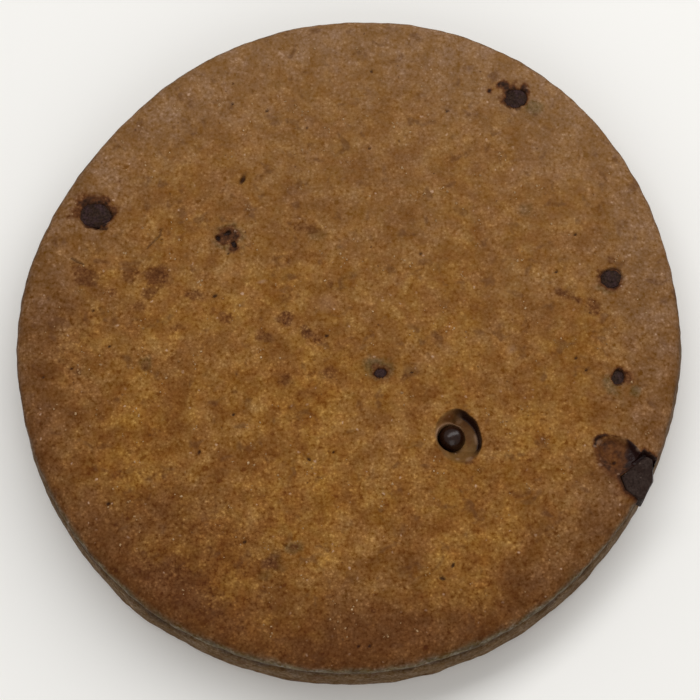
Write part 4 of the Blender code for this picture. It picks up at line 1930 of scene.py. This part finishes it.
@dataclass
class ChocolateChip:
    """A chip that lies in the crust, as a rounded and slightly lumpy drop."""

    node: str
    seed: float
    flatness: float = 0.32
    lumps: float = 0.07 * MM
    drop: float = 0.03 * MM
    point: float = 0.0
    shift: float = 0.0
    lump_size: float = 0.8 * MM
    fine_lump_size: float = 0.33 * MM
    rings: int = 48
    around: int = 72

    def build(self, material: bpy.types.Material) -> bpy.types.Object:
        """Build and dress the chip.

        Args:
            material: The chocolate to give it.

        Returns:
            The chip's object.
        """
        low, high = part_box(self.node)
        middle, half = (low + high) / 2.0, (high - low) / 2.0
        middle.y += self.shift
        mesh = bpy.data.meshes.new(self.node + "_piece")
        shape = bmesh.new()
        bmesh.ops.create_uvsphere(shape, u_segments=self.around, v_segments=self.rings, radius=1.0)
        for vertex in shape.verts:
            vertex.co = self.push(vertex.co, half, middle)
        shape.to_mesh(mesh)
        shape.free()
        piece = link_piece(self.node + "_piece", mesh, material)
        return dress(piece, Slot.CHOCOLATE, self.node)

    def push(self, unit: Vector, half: Vector, middle: Vector) -> Vector:
        """Push a point of the unit ball to the chip's surface.

        Args:
            unit: Point on the ball.
            half: Half of the chip's size.
            middle: The chip's middle.

        Returns:
            The point on the chip.
        """
        flat = math.copysign(abs(unit.z) ** self.flatness, unit.z)
        pull = 1.0 + self.point * max(0.0, -unit.x) ** 3
        place = Vector((unit.x * half.x * pull, unit.y * half.y, flat * half.z)) + middle
        lump = noise.noise(place / self.lump_size + Vector((self.seed, 0.0, 0.0)))
        lump += 0.6 * noise.noise(place / self.fine_lump_size + Vector((0.0, self.seed, 0.0)))
        place.z -= self.drop * max(0.0, unit.z)
        return place + unit * self.lumps * (lump - 0.5)


@dataclass
class EdgeChunk:
    """The broken chunk in the cookie's edge: flat facets with worn edges and a rough break."""

    form: ChunkForm
    finish: ChocolateFinish
    bevel: float = 0.20 * MM
    break_height: float = 0.05 * MM
    break_size: float = 1.2 * MM
    grain_size: float = 0.42 * MM
    finest: float = 0.20 * MM
    splits: int = 5

    def build(self) -> bpy.types.Object:
        """Build and dress the chunk.

        Returns:
            The chunk's object.
        """
        low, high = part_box("chunk_edge")
        turn = math.radians(self.form.direction)
        middle = Vector((self.form.reach * math.cos(turn), self.form.reach * math.sin(turn),
                         (low.z + high.z) / 2.0))
        mesh = bpy.data.meshes.new("chunk_edge_piece")
        shape = bmesh.new()
        self.knock_block(shape)
        bmesh.ops.bevel(shape, geom=shape.edges[:], offset=self.bevel, segments=3, profile=0.5,
                        affect="EDGES", clamp_overlap=True)
        bmesh.ops.triangulate(shape, faces=shape.faces[:])
        for _ in range(self.splits):
            long_edges = [e for e in shape.edges if e.calc_length() > self.finest]
            bmesh.ops.subdivide_edges(shape, edges=long_edges, cuts=1)
            bmesh.ops.triangulate(shape, faces=shape.faces[:])
        shape.transform(Matrix.Translation(middle) @ Matrix.Rotation(turn, 4, "Z"))
        shape.normal_update()
        moves = [(v, v.normal * self.break_relief(v.co)) for v in shape.verts]
        for vertex, move in moves:
            vertex.co += move
        shape.to_mesh(mesh)
        shape.free()
        piece = link_piece("chunk_edge_piece", mesh, self.finish.make())
        return dress(piece, Slot.CHOCOLATE, "chunk_edge")

    def knock_block(self, shape: bmesh.types.BMesh) -> None:
        """Make a box with its corners knocked off.

        Args:
            shape: The empty mesh to fill.
        """
        width, depth, _ = self.form.size
        bmesh.ops.create_cube(shape, size=1.0)
        bmesh.ops.scale(shape, vec=self.form.size, verts=shape.verts)
        for (x, y), facing in self.form.knocks:
            cut = bmesh.ops.bisect_plane(shape, geom=shape.verts[:] + shape.edges[:] + shape.faces[:],
                                         plane_co=(x * width, y * depth, 0.0), plane_no=facing,
                                         clear_outer=True)
            rim = [piece for piece in cut["geom_cut"] if isinstance(piece, bmesh.types.BMEdge)]
            bmesh.ops.edgeloop_fill(shape, edges=rim)
        bmesh.ops.recalc_face_normals(shape, faces=shape.faces)

    def break_relief(self, place: Vector) -> float:
        """How far the broken surface stands out at a point.

        Args:
            place: The point, in metres.

        Returns:
            The distance, in metres.
        """
        broad = noise.noise(place / self.break_size + Vector((3.0, 8.0, 1.0)))
        grain = noise.noise(place / self.grain_size)
        return self.break_height * (broad + 0.5 * grain - 0.5)


@dataclass
class SugarGrains:
    """Tiny pale sugar crystals baked into the crust."""

    form: CookieForm
    finish: SugarFinish
    count: int = 560
    smallest: float = 0.09 * MM
    largest: float = 0.24 * MM
    huddle: float = 0.30 * MM
    sunk: float = 0.12
    patch_size: float = 7.0 * MM
    clear_of: float = 1.25
    crease: float = 25.0
    seed: int = 12

    def build(self) -> bpy.types.Object:
        """Build and dress the crystals as one piece.

        Returns:
            The crystals' object.
        """
        draw = random.Random(self.seed)
        mesh = bpy.data.meshes.new("sugar_crystals")
        shape = bmesh.new()
        spots = self.spots(draw)
        heights = self.form.crust(spots)
        for (x, y, _), height in zip(spots, heights):
            size = self.smallest + (self.largest - self.smallest) * draw.random() ** 2.5
            self.crystal(shape, Vector((x, y, height - self.sunk * size)), size, draw)
        shape.to_mesh(mesh)
        shape.free()
        piece = link_piece("sugar_crystals", mesh, self.finish.make())
        piece.data.set_sharp_from_angle(angle=math.radians(self.crease))
        return dress(piece, Slot.DOUGH)

    def spots(self, draw: random.Random) -> np.ndarray:
        """Draw places for the crystals, in uneven patches and small huddles, clear of hollows and chips.

        Args:
            draw: The seeded draw.

        Returns:
            One row of x, y and 0 for each crystal.
        """
        ovals = [node_oval(seat.node) for seat in SEATS] + [BALL_HOLLOW, CHUNK_SCOOP]
        places: list[tuple[float, float, float]] = []
        while len(places) < self.count:
            turn = 2.0 * math.pi * draw.random()
            reach = self.form.rim_start * math.sqrt(draw.random()) * 0.985
            x, y = reach * math.cos(turn), reach * math.sin(turn)
            liking = 0.55 + 0.45 * noise.noise((x / self.patch_size, y / self.patch_size, 4.0))
            spot = np.array([[x, y, 0.0]])
            if draw.random() < liking and all(oval.reach(spot)[0] > self.clear_of for oval in ovals):
                for _ in range(1 + int(3.6 * draw.random() ** 2)):
                    places.append((x + draw.gauss(0.0, self.huddle), y + draw.gauss(0.0, self.huddle),
                                   0.0))
        return np.array(places)

    @staticmethod
    def crystal(shape: bmesh.types.BMesh, where: Vector, size: float, draw: random.Random) -> None:
        """Add one uneven block-shaped crystal.

        Args:
            shape: The mesh to add it to.
            where: The crystal's middle.
            size: Length of its edge, in metres.
            draw: The seeded draw.
        """
        made = bmesh.ops.create_cube(shape, size=size)["verts"]
        turn = Matrix.Rotation(draw.uniform(0.0, 3.14), 4, Vector((draw.random(), draw.random(), 1.0)))
        stretch = Matrix.Diagonal((draw.uniform(0.7, 1.2), draw.uniform(0.7, 1.1), 0.75, 1.0))
        bmesh.ops.transform(shape, matrix=Matrix.Translation(where) @ turn @ stretch, verts=made)
        for vertex in made:
            vertex.co += Vector([draw.uniform(-0.14, 0.14) * size for _ in range(3)])


@dataclass
class Studio:
    """The plain pale floor, soft lights and the camera."""

    elevation: float = 73.0
    distance: float = 300.0 * MM
    lens: float = 145.3
    target: tuple[float, float, float] = (-0.07 * MM, -0.71 * MM, 4.78 * MM)
    sensor_width: float = 36.0
    floor_colour: Colour = srgb(244, 243, 240)
    floor_roughness: float = 0.9
    floor_half: float = 3.0
    floor_gap: float = 0.02 * MM
    sky_colour: Colour = (1.0, 0.985, 0.96, 1.0)
    sky_strength: float = 0.40
    key_power: float = 1.365
    key_place: tuple[float, float, float] = (70.0 * MM, 190.0 * MM, 330.0 * MM)
    key_size: tuple[float, float] = (800.0 * MM, 160.0 * MM)
    key_roll: float = 44.0
    fill_place: tuple[float, float, float] = (10.0 * MM, -270.0 * MM, 240.0 * MM)
    fill_size: tuple[float, float] = (300.0 * MM, 300.0 * MM)
    fill_share: float = 0.22

    def build(self) -> None:
        """Build the studio."""
        self.make_floor()
        self.make_light("key_light", self.key_place, self.key_size, self.key_power, self.key_roll)
        self.make_light("front_fill", self.fill_place, self.fill_size,
                        self.fill_share * self.key_power)
        self.make_sky()
        self.make_camera()
        view = bpy.context.scene.view_settings
        view.view_transform = "Standard"
        view.look = "None"

    def make_floor(self) -> None:
        """Lay the plain pale floor."""
        mesh = bpy.data.meshes.new("floor")
        shape = bmesh.new()
        bmesh.ops.create_grid(shape, x_segments=1, y_segments=1, size=self.floor_half)
        shape.to_mesh(mesh)
        shape.free()
        material, _, shader = blank_material("pale_floor")
        shader.inputs["Base Color"].default_value = self.floor_colour
        shader.inputs["Roughness"].default_value = self.floor_roughness
        mesh.materials.append(material)
        floor = bpy.data.objects.new("floor", mesh)
        floor.location.z = -self.floor_gap
        bpy.context.scene.collection.objects.link(floor)

    @staticmethod
    def make_light(name: str, where: tuple[float, float, float], size: tuple[float, float],
                   power: float, roll: float = 0.0) -> None:
        """Hang one soft rectangular light that faces the cookie.

        Args:
            name: The light's name.
            where: Its place.
            size: Its width and height.
            power: Its power in watts.
            roll: How far it is turned in its own plane, in degrees.
        """
        data = bpy.data.lights.new(name, "AREA")
        data.shape = "RECTANGLE"
        data.size, data.size_y = size
        data.energy = power
        light = bpy.data.objects.new(name, data)
        light.location = where
        aim = (-Vector(where)).to_track_quat("-Z", "Y").to_matrix()
        light.rotation_euler = (aim @ Matrix.Rotation(math.radians(roll), 3, "Z")).to_euler()
        bpy.context.scene.collection.objects.link(light)

    def make_sky(self) -> None:
        """Light the scene evenly from all round."""
        world = bpy.data.worlds.new("soft_sky")
        world.use_nodes = True
        background = world.node_tree.nodes["Background"]
        background.inputs["Color"].default_value = self.sky_colour
        background.inputs["Strength"].default_value = self.sky_strength
        bpy.context.scene.world = world

    def make_camera(self) -> None:
        """Stand the camera at the photograph's angle."""
        tilt = math.radians(self.elevation)
        back = Vector((0.0, -math.cos(tilt), math.sin(tilt)))
        data = bpy.data.cameras.new("camera")
        data.lens = self.lens
        data.sensor_width = self.sensor_width
        data.clip_start = 0.01
        data.clip_end = 10.0
        camera = bpy.data.objects.new("camera", data)
        camera.location = Vector(self.target) + back * self.distance
        camera.rotation_euler = (-back).to_track_quat("-Z", "Y").to_euler()
        bpy.context.scene.collection.objects.link(camera)
        bpy.context.scene.camera = camera


def main() -> None:
    """Build the cookie's pieces in order, then the studio."""
    logging.basicConfig(level=logging.INFO, format="%(name)s %(message)s")
    groups = EffectGroups.build()
    form, chunk = CookieForm(), ChunkForm()
    Studio().build()
    BakedDough(form, chunk, DoughFinish(groups)).build()
    bloomed = ChocolateFinish(groups, ChocolateState.BLOOMED).make()
    for chip in (
        ChocolateChip("chip_left_edge", 0.0, point=0.10),
        ChocolateChip("chip_upper_left", 3.7, drop=0.20 * MM),
        ChocolateChip("chip_upper_right", 7.4),
        ChocolateChip("chip_right", 11.1),
        ChocolateChip("chip_lower_right", 14.8, drop=0.15 * MM),
        ChocolateChip("chip_middle", 18.5, drop=0.18 * MM),
    ):
        chip.build(bloomed)
    glossy = ChocolateFinish(groups, ChocolateState.GLOSSY).make()
    ChocolateChip("chip_round", 1.3, flatness=1.0, lumps=0.02 * MM, drop=0.0,
                  shift=0.13 * MM).build(glossy)
    EdgeChunk(chunk, ChocolateFinish(groups, ChocolateState.BROKEN)).build()
    SugarGrains(form, SugarFinish(groups)).build()


if __name__ == "__main__":
    main()
